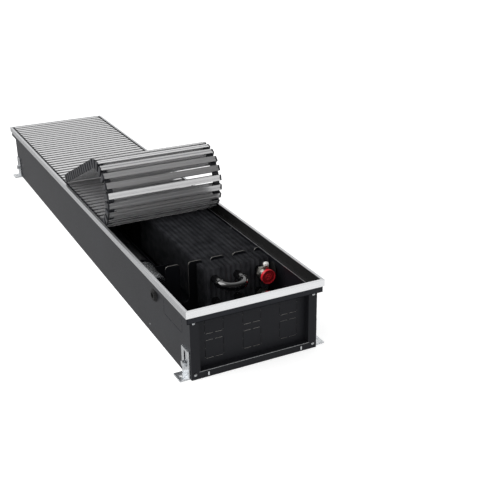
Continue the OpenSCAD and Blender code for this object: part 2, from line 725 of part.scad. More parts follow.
module cable_grommets() color(c_rubber) for (s = [-1, 1])
    translate([s*half_w, grommet_y, grommet_z]) rotate([0, s*90, 0]) difference() {
        union() {
            translate([0, 0, 0]) cylinder(r1 = grommet_r + 2.5, r2 = grommet_r - 1, h = 5);
            translate([0, 0, -sheet - 2]) cylinder(r = grommet_r - fit, h = sheet + 2);
            translate([0, 0, -sheet - 2]) cylinder(r = grommet_r + 2, h = 2);
        }
        if (s < 0) translate([0, 0, -sheet - 2 - cut]) cylinder(r = 5, h = sheet + 7 + 2*cut);
    }

/* Feet */

// Slotted bracket on the outside of the left wall, middle at y = 0
module foot() color(c_zinc) {
    x = -half_w - seat;
    difference() {
        union() {
            translate([x - foot_t, -foot_w/2, 0]) cube([foot_t, foot_w, foot_h]);
            translate([-half_w - foot_reach, -foot_w/2, 0])
                cube([foot_reach - seat, foot_w, foot_t]);
        }
        for (z = [bolt_z, bolt_z + foot_travel]) translate([x - foot_t - cut, 0, z])
            rotate([0, 90, 0]) cylinder(r = bolt_r + seat, h = foot_t + 2*cut);
        translate([x - foot_t - cut, -bolt_r - seat, bolt_z])
            cube([foot_t + 2*cut, 2*(bolt_r + seat), foot_travel]);
        translate([-half_w - (foot_reach + foot_t)/2, 0, -cut])
            cylinder(r = foot_hole_r, h = foot_t + 2*cut);
    }
}
foot_y = half_l - foot_inset;
module foot_front_left() translate([0, -foot_y, 0]) foot();
module foot_rear_left() translate([0, foot_y, 0]) foot();
module foot_front_right() rotate([0, 0, 180]) translate([0, foot_y, 0]) foot();
module foot_rear_right() rotate([0, 0, 180]) translate([0, -foot_y, 0]) foot();

// Clamp bolts with flanged heads outside and hexagon nuts inside the wall
module foot_bolts() color(c_zinc) for (a = [0, 180], y = [-foot_y, foot_y])
    rotate([0, 0, a]) translate([-half_w, y, bolt_z]) rotate([0, -90, 0]) {
        head = 2*seat + foot_t;
        translate([0, 0, -sheet - 6]) cylinder(r = bolt_r, h = head + sheet + 6 + 1);
        translate([0, 0, head]) cylinder(r = bolt_r*2.1, h = 1.2);
        translate([0, 0, head]) cylinder(r = bolt_r*1.9, h = 5, $fn = 6);
        translate([0, 0, -sheet - 5]) difference() {
            cylinder(r = bolt_r*1.9, h = 5, $fn = 6);
            translate([0, 0, -cut]) cylinder(r = bolt_r + fit, h = 5 + 2*cut);
        }
    }

/* Roll-up grille */

// A slat's section in the YZ plane: an I-beam with its middle at the origin
module slat_profile() {
    square([web_t, slat_h - flange_t], center = true);
    for (s = [-1, 1]) translate([0, s*(slat_h - flange_t)/2])
        square([slat_w, flange_t], center = true);
}

// One layer of a hinge link in the YZ plane, with a knuckle towards side s
module link_layer(s, hole) difference() {
    union() {
        link_block(s);
        translate([s > 0 ? block_y - 1 : -slat_pitch/2, -knuckle_r])
            square([slat_pitch/2 - block_y + 1, 2*knuckle_r]);
        translate([s*slat_pitch/2, 0]) circle(knuckle_r);
    }
    if (hole > 0) translate([s*slat_pitch/2, 0]) circle(hole);
}
module link_block(s) translate([s > 0 ? web_t/2 + fit : -block_y, -inner_h/2 + 0.2])
    square([block_y - web_t/2 - fit, inner_h - 0.4]);

// Extrudes a YZ profile from x = 0 to x = w
module in_x(w) rotate([90, 0, 90]) linear_extrude(w) children();

// Plastic end of a slat, from its outer face at x = 0 inwards: a cap over the end, a
// block in each channel, an eye towards +Y and two pinned ears towards -Y
module link(eye, ears) {
    in_x(cap_t - fit) square([slat_w, slat_h], center = true);
    w = link_w;
    translate([cap_t, 0, 0]) {
        for (s = [-1, 1]) translate([-cap_t, 0, 0]) in_x(cap_t + 1) link_block(s);
        if (eye) {
            in_x(w) link_block(1);
            translate([ear_w + seat, 0, 0]) in_x(eye_w) link_layer(1, pin_r + 2*fit);
        }
        if (ears) {
            in_x(w) link_block(-1);
            in_x(ear_w) link_layer(-1, 0);
            translate([w - ear_w, 0, 0]) in_x(ear_w) link_layer(-1, 0);
            translate([ear_w - 0.5, -slat_pitch/2, 0]) rotate([0, 90, 0])
                cylinder(r = pin_r, h = w - 2*ear_w + 1, $fn = 24);
        }
    }
}

// A whole slat with its two end links, hinge height at z = 0
module slat(eye = true, ears = true) {
    color(c_alu) translate([-slat_len/2 + cap_t, 0, 0])
        in_x(slat_len - 2*cap_t) slat_profile();
    color(c_rubber) {
        translate([-slat_len/2, 0, 0]) link(eye, ears);
        translate([slat_len/2, 0, 0]) mirror([1, 0, 0]) link(eye, ears);
    }
}

module flat_grille() for (i = [n_roll : n_slats - 1])
    translate([0, slat_y0 + i*slat_pitch, zp]) slat(eye = i < n_slats - 1);

// Slat k of the roll, counted from the flat grille
module roll_slat(k) {
    h = hinge_at(k - 1, bend_angle);
    translate([0, h[0], h[1]]) rotate([-turned(k, bend_angle), 0, 0])
        translate([0, -slat_pitch/2, 0]) slat(ears = k < n_roll);
}

// The slats past the bend, which lie back in one line down to the flat grille
module roll_tail() for (k = [n_bend : n_roll]) roll_slat(k);

casing_tray();
end_panel_front();
end_panel_rear();
casing_screws();
frame_left();
frame_right();
frame_front();
frame_rear();
rest_strips();
braces();
fin_pack();
pipes();
return_bends();
pipe_fittings();
air_vent_body();
bleed_screw();
supply_cap();
return_cap();
fan_housing();
fan_motor();
motor_bracket();
drive_coupling();
impeller();
bearing_plate();
far_bearing();
terminal_box();
terminal_lid();
cable_grommets();
motor_cable();
foot_front_left();
foot_front_right();
foot_rear_left();
foot_rear_right();
foot_bolts();
flat_grille();
for (k = [1 : n_bend - 1])
    roll_slat(k);
roll_tail();
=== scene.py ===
# %% [markdown]
# # A trench convector heater with its grille rolled back
# This lesson dresses a imported CAD model in Blender. The object is an in-floor heater: a
# long black sheet casing with a finned pipe heat exchanger and a cross-flow fan inside,
# an aluminium frame on top, and a grille of aluminium slats that rolls up like a shutter.
# The CAD model is loaded first, and its boxes and joints give the main places and sizes.
# The dressed model has to stay inside it.

# %% Load the frame
import json
import math

import bpy
from mathutils import Matrix, Vector


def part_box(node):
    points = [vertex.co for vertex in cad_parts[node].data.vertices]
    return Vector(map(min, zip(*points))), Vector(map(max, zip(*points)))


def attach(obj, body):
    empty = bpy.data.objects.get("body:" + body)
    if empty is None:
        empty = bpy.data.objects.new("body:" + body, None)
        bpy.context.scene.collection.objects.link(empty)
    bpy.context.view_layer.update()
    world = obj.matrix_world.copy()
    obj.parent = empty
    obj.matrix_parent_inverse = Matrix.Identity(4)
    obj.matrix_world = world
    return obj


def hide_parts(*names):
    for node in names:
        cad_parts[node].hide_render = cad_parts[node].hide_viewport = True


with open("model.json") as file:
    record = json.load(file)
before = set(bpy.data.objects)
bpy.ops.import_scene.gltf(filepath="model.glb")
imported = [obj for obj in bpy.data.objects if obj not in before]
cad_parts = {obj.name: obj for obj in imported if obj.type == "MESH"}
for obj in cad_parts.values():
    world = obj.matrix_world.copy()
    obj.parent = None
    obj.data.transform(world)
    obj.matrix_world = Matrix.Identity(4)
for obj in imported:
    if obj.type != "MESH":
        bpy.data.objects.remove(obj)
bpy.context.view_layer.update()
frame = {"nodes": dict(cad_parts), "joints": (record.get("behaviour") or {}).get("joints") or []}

MM = 0.001

# %% [markdown]
# ## Camera
# The camera stands where the photographer stood. Its place, angles and lens were worked
# out from the corners of the heater's frame, whose sizes are known. It stands to the
# left of the near end, looks down at a little under 24 degrees, and is rolled by less
# than a degree. Its three axes are built as vectors and set side by side in a matrix,
# which is easier to check than a chain of turns.

# %% Camera
AZIMUTH, ELEVATION, ROLL = (math.radians(a) for a in (-26.614, 23.733, -0.684))
PHOTO_PLACE = Vector((-561.2, -1694.0, 750.2))*MM
SENSOR_WIDTH, LENS = 36, 62.1

back = Vector((math.sin(AZIMUTH)*math.cos(ELEVATION), -math.cos(AZIMUTH)*math.cos(ELEVATION),
               math.sin(ELEVATION)))
level = Vector((0, 0, 1)).cross(back).normalized()
upright = back.cross(level)
right = math.cos(ROLL)*level + math.sin(ROLL)*upright
up = math.cos(ROLL)*upright - math.sin(ROLL)*level

camera_data = bpy.data.cameras.new("photo_camera")
camera_data.sensor_width = SENSOR_WIDTH
camera_data.lens = LENS
camera = bpy.data.objects.new("photo_camera", camera_data)
bpy.context.scene.collection.objects.link(camera)
placing = Matrix((right, up, back)).transposed().to_4x4()
placing.translation = PHOTO_PLACE
camera.matrix_world = placing
bpy.context.scene.camera = camera
print("camera at", [round(v, 3) for v in camera.location])

# %% [markdown]
# ## Colours and nodes
# A colour is written as the hex code that a paint or design program shows. Blender's
# shaders work in linear light, so one function turns a code into linear numbers. A
# second small function adds a node to a material, sets it up and links it. A pattern's
# size is written in millimetres, as it would be measured, and turned into a scale.

# %% Helpers for colours and nodes
BUMP_DEPTH = 0.1*MM


def linear(code):
    """Turns "#rrggbb" into the linear colour, with alpha, that a shader expects."""
    parts = [int(code[i:i + 2], 16)/255 for i in (1, 3, 5)]
    return [p/12.92 if p <= 0.04045 else ((p + 0.055)/1.055)**2.4 for p in parts] + [1.0]


def per_metre(size):
    """A texture's scale: how many cells of a size in millimetres fit in a metre."""
    return 1000/size


def link(tree, source, socket):
    """Links an output into a socket; a node stands for its first output."""
    tree.links.new(source.outputs[0] if isinstance(source, bpy.types.Node) else source, socket)


def add_node(tree, kind, settings=None, links=None):
    """Adds a shader node. Its settings are sockets, properties or colour stops, by name.
    Its links are what goes into it, by the name or number of the socket."""
    node = tree.nodes.new("ShaderNode" + kind)
    for name, value in (settings or {}).items():
        if name == "stops":
            ramp = node.color_ramp.elements
            ramp[0].position, ramp[1].position = value[0][0], value[-1][0]
            ramp[0].color, ramp[1].color = linear(value[0][1]), linear(value[-1][1])
            for place, code in value[1:-1]:
                ramp.new(place).color = linear(code)
        elif isinstance(name, int) or name in node.inputs:
            node.inputs[name].default_value = value
        else:
            setattr(node, name, value)
    for name, source in (links or {}).items():
        link(tree, source, node.inputs[name])
    return node


def empty_tree(owner):
    """The node tree of a material or world, cleared of the nodes it comes with."""
    owner.use_nodes = True
    owner.node_tree.nodes.clear()
    return owner.node_tree


def new_finish(name, **constants):
    """Starts a material: one Principled shader, and where each point is on the object."""
    finish = bpy.data.materials.new(name)
    tree = empty_tree(finish)
    shader = add_node(tree, "BsdfPrincipled", constants)
    add_node(tree, "OutputMaterial", links={"Surface": shader})
    where = add_node(tree, "TexCoord").outputs["Object"]
    print("made", name)
    return finish, tree, shader, where


def link_in(tree, shader, **sources):
    """Links patterns into the shader's sockets; an underscore stands for a space."""
    for name, source in sources.items():
        link(tree, source, shader.inputs[name.replace("_", " ")])

# %% [markdown]
# ## Black powder coat
# The casing is zinc-coated steel sheet with a baked polyester powder coat. The powder
# melts into a skin with a fine orange-peel texture, so it has a soft, wide sheen that
# grows where you look along it. The grain is about 0.3 mm on the real sheet and is drawn
# at 0.9 mm so that it shows. A broad, faint cloudiness stands for uneven film thickness.
# Noise textures draw both, because neither repeats, and the grain bumps the surface too.

# %% Finish: black powder coat
PEEL_SIZE, CLOUD_SIZE = 10/11, 1000/14      # eleven grains in 10 mm, fourteen clouds in 1 m


def orange_peel(tree, where):
    """The grain of a powder coat, as a pattern and as a bump."""
    grain = add_node(tree, "TexNoise", {"Scale": per_metre(PEEL_SIZE), "Detail": 2.0},
                     {"Vector": where})
    bump = add_node(tree, "Bump", {"Strength": 0.25, "Distance": BUMP_DEPTH}, {"Height": grain})
    return grain, bump


powder_coat, tree, shader, where = new_finish("black_polyester_powder_coat", **{
    "Roughness": 0.45, "IOR": 1.5, "Specular IOR Level": 0.34,
    "Specular Tint": linear("#dfe4f2")})
cloud = add_node(tree, "TexNoise", {"Scale": per_metre(CLOUD_SIZE), "Detail": 3.0},
                 {"Vector": where})
tint = add_node(tree, "ValToRGB", {"stops": [(0.35, "#121215"), (0.7, "#18191d")]}, {"Fac": cloud})
grain, bumped = orange_peel(tree, where)
rough = add_node(tree, "MapRange", {
    "From Min": 0.3, "From Max": 0.7, "To Min": 0.40, "To Max": 0.50}, {"Value": grain})
link_in(tree, shader, Base_Color=tint, Roughness=rough, Normal=bumped)

# %% [markdown]
# ## Matt powder coat
# The end panels and the ends of the casing have a duller coat of the same kind. It has
# hardly any sheen, so it keeps one even dark grey where the sheet beside it turns lighter
# or darker with the light. The same grain is used, with a low specular level.

# %% Finish: matt powder coat of the ends
panel_coat, tree, shader, where = new_finish("matt_black_powder_coat_on_panels", **{
    "Roughness": 0.5, "IOR": 1.5, "Specular IOR Level": 0.15})
grain, bumped = orange_peel(tree, where)
tint = add_node(tree, "ValToRGB", {"stops": [(0.35, "#242529"), (0.65, "#292a2e")]}, {"Fac": grain})
link_in(tree, shader, Base_Color=tint, Normal=bumped)

# %% [markdown]
# ## Bare cut edges
# The knock-outs and the outlines of the comb plates are cut with a laser after coating,
# so the walls of each cut are bare zinc-coated steel. They read as fine light dashes and
# arcs on the black sheet. The beam leaves drag lines about 0.4 mm apart, which a noise
# of that size is enough to draw, since the cuts are only as deep as the sheet.

# %% Finish: laser-cut steel edge
DRAG_LINE = 0.4
cut_edge, tree, shader, where = new_finish("laser_cut_steel_edge", **{
    "Metallic": 0.85, "Roughness": 0.5})
stria = add_node(tree, "TexNoise", {"Scale": per_metre(DRAG_LINE)}, {"Vector": where})
tint = add_node(tree, "ValToRGB", {"stops": [(0.3, "#6f6d6a"), (0.7, "#a8a6a2")]}, {"Fac": stria})
link_in(tree, shader, Base_Color=tint)

# %% [markdown]
# ## Anodised aluminium
# Frame and slats are extruded aluminium, etched matt and anodised in its natural colour.
# The oxide is clear but dulls the metal, so the finish is not wholly metallic. Extruding leaves fine
# die lines along the profile, and etching softens them. They are noise stretched along the length:
# half a millimetre wide, which is coarser than real ones so that they show, and long. The length lies
# on X for the slats and the end bars and on Y for the side bars, so each direction is a finish of its
# own. The two frame finishes are also a lit and a shaded copy of one anodising: the end bars get a
# lighter tint as painted light, since the near one turns away from the lamp, and the side bars get a
# darker tint as painted shade. The slats are smoother.

# %% Finish: anodised aluminium
DIE_LINE, DIE_LINE_RUN = 10/19, 1000/6      # nineteen lines in 10 mm, six lengths in 1 m
DIE_SPREAD = 0.05


def anodised(name, along, dark, light, roughness, metal=0.92):
    """Satin aluminium whose die lines run along axis 0, 1 or 2."""
    finish, tree, shader, where = new_finish(name, Metallic=metal, Roughness=roughness)
    stretch = [per_metre(DIE_LINE)]*3
    stretch[along] = per_metre(DIE_LINE_RUN)
    lay = add_node(tree, "Mapping", {"Scale": stretch}, {"Vector": where})
    lines = add_node(tree, "TexNoise", {"Scale": 1.0, "Detail": 2.0}, {"Vector": lay})
    tint = add_node(tree, "ValToRGB", {"stops": [(0.3, dark), (0.7, light)]}, {"Fac": lines})
    rough = add_node(tree, "MapRange", {
        "From Min": 0.3, "From Max": 0.7, "To Min": roughness - DIE_SPREAD,
        "To Max": roughness + DIE_SPREAD}, {"Value": lines})
    bump = add_node(tree, "Bump", {"Strength": 0.12, "Distance": BUMP_DEPTH}, {"Height": lines})
    link_in(tree, shader, Base_Color=tint, Roughness=rough, Normal=bump)
    return finish


# Lit and shaded copies: the long bars' darker tint is painted shade, the end bars' lighter tint is
# painted light.
frame_along_y = anodised("satin_anodised_aluminium_long_bars_painted_darker", 1, "#c3c4c6", "#d6d7d9", 0.30)
frame_along_x = anodised("satin_anodised_aluminium_end_bars_painted_lighter", 0, "#e6e7e9", "#f3f4f5", 0.30)
slat_finish = anodised("anodised_aluminium_slats", 0, "#d2d2d3", "#e8e8e9", 0.20, metal=0.72)

# %% [markdown]
# ## Zinc and nickel
# Feet, bolts and screws are steel with a bright zinc plating, which shows soft cloudy
# grains a few millimetres wide. The pipe connections and the vent are brass with a dull
# nickel plating, warmer and more even. Both are metals, so the base colour is the colour
# of the reflection. Voronoi cells draw the grains, as crystals meet in the same way, and
# a finer noise makes the shine uneven.

# %% Finish: plated metals
HAZE_SIZE, HAZE_SPREAD = 2.5, 0.08


def plated(name, dark, light, roughness, grain_mm):
    """A plated metal with soft grains of the given width in millimetres."""
    finish, tree, shader, where = new_finish(name, Metallic=1.0, Roughness=roughness)
    grains = add_node(tree, "TexVoronoi", {"Scale": per_metre(grain_mm)}, {"Vector": where})
    tint = add_node(tree, "ValToRGB", {"stops": [(0.1, light), (0.9, dark)]}, {"Fac": grains})
    haze = add_node(tree, "TexNoise", {"Scale": per_metre(HAZE_SIZE), "Detail": 4.0},
                    {"Vector": where})
    rough = add_node(tree, "MapRange", {
        "From Min": 0.3, "From Max": 0.7, "To Min": roughness - HAZE_SPREAD,
        "To Max": roughness + HAZE_SPREAD}, {"Value": haze})
    link_in(tree, shader, Base_Color=tint, Roughness=rough)
    return finish


zinc = plated("bright_zinc_plated_steel", "#c6c9cc", "#e6e8ea", 0.28, 3.5)
nickel = plated("dull_nickel_plated_brass", "#aba9a2", "#c6c3bb", 0.34, 2.0)

# %% [markdown]
# ## Plastics, rubber and varnished parts
# The slat links are black nylon with a faint mould grain, the strips and grommets are
# matt rubber, and the terminal box is grey ABS. The caps are glossy red polyethylene with
# a matt recess, and the vent's knob is white acetal. The exchanger is dipped in black
# varnish, which is thin and slightly shiny on the fins, and pools to a gloss on the pipe
# bends: a high IOR there makes the highlights as strong as on wet varnish. All of them
# are non-metals, so one function makes them, from a base colour with a faint change in
# tone, a roughness, and a grain in millimetres that bumps the surface.

# %% Finish: moulded and dipped parts
TONE_SIZE = 100/6      # six changes of tone in 100 mm


def moulded(name, dark, light, roughness, grain_mm, depth=0.15, **extra):
    """A non-metal with a faint change in tone and a grain that bumps the surface."""
    finish, tree, shader, where = new_finish(name, Roughness=roughness, **extra)
    tone = add_node(tree, "TexNoise", {"Scale": per_metre(TONE_SIZE), "Detail": 2.0},
                    {"Vector": where})
    tint = add_node(tree, "ValToRGB", {"stops": [(0.35, dark), (0.65, light)]}, {"Fac": tone})
    grain = add_node(tree, "TexNoise", {"Scale": per_metre(grain_mm), "Detail": 2.0},
                     {"Vector": where})
    bump = add_node(tree, "Bump", {"Strength": depth, "Distance": BUMP_DEPTH}, {"Height": grain})
    link_in(tree, shader, Base_Color=tint, Normal=bump)
    return finish


nylon = moulded("black_moulded_nylon", "#26272a", "#313236", 0.5, 0.8,
                **{"Specular IOR Level": 0.4})
# The same black rubber also serves as painted shade on the inner legs of the frame and on the upright
# walls of the knock-outs.
rubber = moulded("black_epdm_rubber_and_painted_shade", "#0b0b0b", "#121212", 0.7, 0.6)
red_cap = moulded("red_moulded_polyethylene", "#d3202c", "#e03a42", 0.32, 1.5, 0.08)
cap_recess = moulded("red_cap_matt_recess", "#a3141f", "#ae1c27", 0.6, 0.8, 0.1)
white_knob = moulded("white_moulded_acetal", "#f1f1ee", "#fafaf7", 0.3, 1.5, 0.05)
abs_box = moulded("dark_grey_moulded_abs", "#17181a", "#1f2022", 0.5, 0.7)
varnish = moulded("black_dipped_varnish_on_aluminium", "#0c0c0e", "#161619", 0.38, 1.2, 0.2)
fin_varnish = moulded("thin_varnish_on_fins", "#36373b", "#4b4c50", 0.36, 1.2, 0.2)
gloss_varnish = moulded("black_gloss_varnish_on_copper", "#060607", "#0b0b0d", 0.1, 2.5, 0.1,
                        IOR=2.1)

# %% [markdown]
# ## Modelling helpers
# Pieces are modelled as by hand: a primitive is added at its place and size, faces are
# picked by where they are, and edit-mode tools shape them. An operator acts on
# everything that is selected, so each helper first deselects all. Sizes are given in
# millimetres, as on a drawing. A finished piece stays at the origin with its place in its
# mesh, as the CAD pieces do, so that patterns on object coordinates fall in place.

# %% Helpers for primitives
TURN = {"x": (0, math.pi/2, 0), "y": (-math.pi/2, 0, 0), "z": (0, 0, 0)}


def activate(obj):
    """Selects one object and nothing else."""
    bpy.ops.object.select_all(action="DESELECT")
    obj.select_set(True)
    bpy.context.view_layer.objects.active = obj


def apply_place(obj):
    """Moves an object's place, turn and scale into its mesh."""
    activate(obj)
    bpy.ops.object.transform_apply(location=True, rotation=True, scale=True)
    return obj


def add_block(name, low, high):
    """A box between two corners, in millimetres."""
    bpy.ops.object.select_all(action="DESELECT")
    middle = [(a + b)/2*MM for a, b in zip(low, high)]
    bpy.ops.mesh.primitive_cube_add(size=1, location=middle,
                                    scale=[(b - a)*MM for a, b in zip(low, high)])
    block = bpy.context.object
    block.name = name
    return apply_place(block)


def add_rod(name, axis, radius, start, length, across, sides=32, radius_2=None):
    """A round bar or cone along an axis, from start; across gives its other two places."""
    bpy.ops.object.select_all(action="DESELECT")
    middle = list(across)
    middle.insert("xyz".index(axis), start + length/2)
    bpy.ops.mesh.primitive_cone_add(
        vertices=sides, radius1=radius*MM, radius2=(radius if radius_2 is None else radius_2)*MM,
        depth=length*MM, location=[m*MM for m in middle], rotation=TURN[axis])
    rod = bpy.context.object
    rod.name = name
    return apply_place(rod)


print("a rod can lie along", ", ".join(TURN))

# %% Helpers for edit mode
SAME_POINT = 0.001*MM
FACING = 0.9    # a face whose normal has this much of an axis in it faces along that axis


def pick(obj, faces=None, edges=None):
    """Goes into edit mode with just those faces or edges picked that pass a test."""
    activate(obj)
    bpy.ops.object.mode_set(mode="EDIT")
    bpy.ops.mesh.select_mode(type="FACE" if faces else "EDGE")
    bpy.ops.mesh.select_all(action="DESELECT")
    bpy.ops.object.mode_set(mode="OBJECT")
    mesh = obj.data
    if faces:
        for face in mesh.polygons:
            face.select = faces(face.center/MM, face.normal)
    else:
        for edge in mesh.edges:
            edge.select = edges(*(mesh.vertices[v].co/MM for v in edge.vertices))
    bpy.ops.object.mode_set(mode="EDIT")


def extrude(move):
    """Pulls the picked faces out by a move in millimetres, and leaves edit mode."""
    bpy.ops.mesh.extrude_region_move(TRANSFORM_OT_translate={"value": [m*MM for m in move]})
    bpy.ops.object.mode_set(mode="OBJECT")


def shift(move):
    """Moves the picked edges by a move in millimetres, and leaves edit mode."""
    bpy.ops.transform.translate(value=[m*MM for m in move])
    bpy.ops.object.mode_set(mode="OBJECT")


def bisect(obj, place, normal, cut_away=False):
    """Cuts all of a piece at a plane; cut_away drops what is past it and closes the cut."""
    activate(obj)
    bpy.ops.object.mode_set(mode="EDIT")
    bpy.ops.mesh.select_all(action="SELECT")
    bpy.ops.mesh.bisect(plane_co=[p*MM for p in place], plane_no=normal,
                        clear_outer=cut_away, use_fill=cut_away)
    bpy.ops.object.mode_set(mode="OBJECT")


def outward(obj):
    """Merges doubled points and turns all faces outwards."""
    activate(obj)
    bpy.ops.object.mode_set(mode="EDIT")
    bpy.ops.mesh.select_all(action="SELECT")
    bpy.ops.mesh.remove_doubles(threshold=SAME_POINT)
    bpy.ops.mesh.normals_make_consistent(inside=False)
    bpy.ops.object.mode_set(mode="OBJECT")


print("points within", SAME_POINT/MM, "mm are one point")

# %% Helpers for modifiers
SHARP = 35      # an edge that turns by more degrees than this is rounded


def modify(obj, kind, **settings):
    """Adds a modifier and applies it at once."""
    activate(obj)
    modifier = obj.modifiers.new(kind.lower(), kind)
    for name, value in settings.items():
        setattr(modifier, name, value)
    bpy.ops.object.modifier_apply(modifier=modifier.name)
    return obj


def cut_out(obj, tool, **settings):
    """Takes a tool's shape out of a piece and throws the tool away."""
    modify(obj, "BOOLEAN", object=tool, operation="DIFFERENCE", solver="EXACT", **settings)
    bpy.data.objects.remove(tool)


def soften(obj, width, segments=2, angle=SHARP):
    """Rounds sharp edges by a width in millimetres, as moulding and deburring leave them."""
    modify(obj, "BEVEL", width=width*MM, segments=segments, limit_method="ANGLE",
           angle_limit=math.radians(angle), use_clamp_overlap=True)
    activate(obj)
    bpy.ops.object.shade_smooth_by_angle(angle=math.radians(angle))
    return modify(obj, "WEIGHTED_NORMAL", keep_sharp=True)


print("edges over", SHARP, "degrees are sharp")

# %% Helpers for joining, copying and measuring
def join(name, *parts):
    """Makes one piece of several; it keeps the origin of the first."""
    bpy.ops.object.select_all(action="DESELECT")
    for part in parts:
        part.select_set(True)
    bpy.context.view_layer.objects.active = parts[0]
    bpy.ops.object.join()
    parts[0].name = name
    return parts[0]


def copy_of(obj, name, matrix=None):
    """A copy with its own mesh, moved in its mesh so that the object stays at the origin."""
    twin = bpy.data.objects.new(name, obj.data.copy())
    bpy.context.scene.collection.objects.link(twin)
    if matrix is not None:
        twin.data.transform(matrix)
    return twin


def moved(x, y, z):
    """A matrix that moves by millimetres."""
    return Matrix.Translation(Vector((x, y, z))*MM)


def box_mm(node):
    """The low and the high corner of a CAD node, in millimetres."""
    return [Vector(corner)/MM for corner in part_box(node)]


casing_low, casing_high = box_mm("casing_tray")
print("casing in mm:", [round(v) for v in casing_high - casing_low])

# %% Helpers for finishes and bodies
def settle(obj, body, finish, slot, *nodes):
    """Gives a finished piece its finish and its body, and hides the CAD nodes it stands for. The slot
    is not used.
    """
    obj.data.materials.clear()
    obj.data.materials.append(finish)
    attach(obj, body)
    if nodes:
        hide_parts(*nodes)
    print(f"{obj.name}: {len(obj.data.polygons)} faces, on {body}")
    return obj


def second_finish(piece, finish, test):
    """Gives a further finish to the faces that pass the test, by centre and normal."""
    piece.data.materials.append(finish)
    chosen = [face for face in piece.data.polygons if test(face.center/MM, face.normal)]
    for face in chosen:
        face.material_index = len(piece.data.materials) - 1
    print(piece.name, "has", len(chosen), "faces in", finish.name)

# %% [markdown]
# ## Sheet and cast parts from the CAD solids
# Folded sheet, brackets and fittings already have the right shape as CAD solids, but
# their edges are mathematically sharp and catch no light. A real fold or deburred edge
# has a radius of a few tenths of a millimetre, which shows as a fine highlight. Nothing
# is gained by modelling them again, so a copy of the solid's mesh is merged into clean
# faces, and its edges are rounded. The CAD node itself is left alone and hidden.

# %% Rounded copies of CAD nodes
FLAT_ANGLE, FOLD_ANGLE = 0.5, 30


def rounded_copy(node, name, body, finish, slot, width):
    """A copy of a CAD node with edges rounded by a width in millimetres."""
    piece = copy_of(frame["nodes"][node], name)
    activate(piece)
    bpy.ops.object.mode_set(mode="EDIT")
    bpy.ops.mesh.select_all(action="SELECT")
    bpy.ops.mesh.remove_doubles(threshold=SAME_POINT)
    bpy.ops.mesh.dissolve_limited(angle_limit=math.radians(FLAT_ANGLE))
    bpy.ops.object.mode_set(mode="OBJECT")
    soften(piece, width, angle=FOLD_ANGLE)
    return settle(piece, body, finish, slot, node)


dressed = {}
for node, name, body, finish, slot, width in (
        ("casing_tray", "casing_sheet", "casing", powder_coat, "casing", 0.3),
        ("end_panel_front", "near_end_panel", "casing", panel_coat, "casing", 0.25),
        ("end_panel_rear", "far_end_panel", "casing", panel_coat, "casing", 0.25),
        ("braces", "comb_plates", "casing", powder_coat, "casing", 0.3),
        ("foot_front_left", "near_left_bracket", "front_left_foot", zinc, "zinc", 0.35),
        ("foot_front_right", "near_right_bracket", "front_right_foot", zinc, "zinc", 0.35),
        ("foot_rear_left", "far_left_bracket", "rear_left_foot", zinc, "zinc", 0.35),
        ("foot_rear_right", "far_right_bracket", "rear_right_foot", zinc, "zinc", 0.35),
        ("foot_bolts", "clamp_bolts_and_nuts", "casing", zinc, "zinc", 0.3),
        ("pipe_fittings", "pipe_connections", "casing", nickel, "nickel", 0.4),
        ("air_vent_body", "vent_body", "casing", nickel, "nickel", 0.3),
        ("supply_cap", "supply_transport_cap", "supply_plug", red_cap, "cap", 0.4),
        ("return_cap", "return_transport_cap", "return_plug", red_cap, "cap", 0.4),
        ("bleed_screw", "vent_knob", "vent_screw", white_knob, "knob", 0.3),
        ("fan_motor", "fan_motor_can", "casing", zinc, "zinc", 0.6),
        ("motor_bracket", "motor_mount_plate", "casing", zinc, "zinc", 0.3),
        ("cable_grommets", "wall_grommets", "casing", rubber, "rubber", 0.5),
        ("terminal_box", "terminal_case", "casing", abs_box, "box", 0.6),
        ("terminal_lid", "terminal_cover", "casing", abs_box, "box", 0.8)):
    dressed[name] = rounded_copy(node, name, body, finish, slot, width)

# %% [markdown]
# ## Cut edges, slots and recesses
# Some faces of a piece look unlike the rest of it. The level walls of the knock-out slots are bare
# steel that catches light. The upright walls are bare steel too, but they get the black rubber finish
# as painted shade. The sills and the comb plates have bare cut edges, the ends of the casing wear the
# matt coat, and the caps have a matt recess. No new piece is needed for that: a further finish goes on
# the faces, which are picked by their place and direction.

# %% Further finishes, picked by place
END_Y, SILL = casing_high.y, 13.0                       # end of the casing, height of its sill
PANEL_Y, PANEL_REACH = END_Y - 13.0, 1.3                # the recessed panel and half its depth
CUTS_X, CUTS_LOW, CUTS_HIGH = 90, SILL + 2, 100         # the part of it with the knock-outs
COMB_BARE = 70                                          # the comb plates show above this
CAP_FRONT, CAP_RIM = box_mm("supply_cap")[0].y, 1


def in_knock_outs(c):
    """Whether a face of an end panel lies among the knock-outs, away from the folds."""
    return (abs(c.x) < CUTS_X and abs(abs(c.y) - PANEL_Y) < PANEL_REACH
            and CUTS_LOW < c.z < CUTS_HIGH)


for name in ("near_end_panel", "far_end_panel"):
    second_finish(dressed[name], cut_edge, lambda c, n: abs(n.z) > 0.5 and in_knock_outs(c))
    # Painted shade: the upright walls of the slots get the black rubber finish.
    second_finish(dressed[name], rubber,
                  lambda c, n: abs(n.x) > 0.3 and abs(n.z) < 0.5 and in_knock_outs(c))
second_finish(dressed["casing_sheet"], cut_edge,
              lambda c, n: n.z > 0.3 and abs(c.z - SILL) < 0.4 and abs(c.y) > END_Y - 2)
second_finish(dressed["casing_sheet"], panel_coat,
              lambda c, n: abs(n.y) > 0.7 and abs(c.y) > END_Y - 0.2)
second_finish(dressed["comb_plates"], cut_edge,
              lambda c, n: abs(n.y) < FACING and c.z > COMB_BARE)
for name in ("supply_transport_cap", "return_transport_cap"):
    second_finish(dressed[name], cap_recess,
                  lambda c, n: n.y < -FACING and c.y > CAP_FRONT + CAP_RIM)
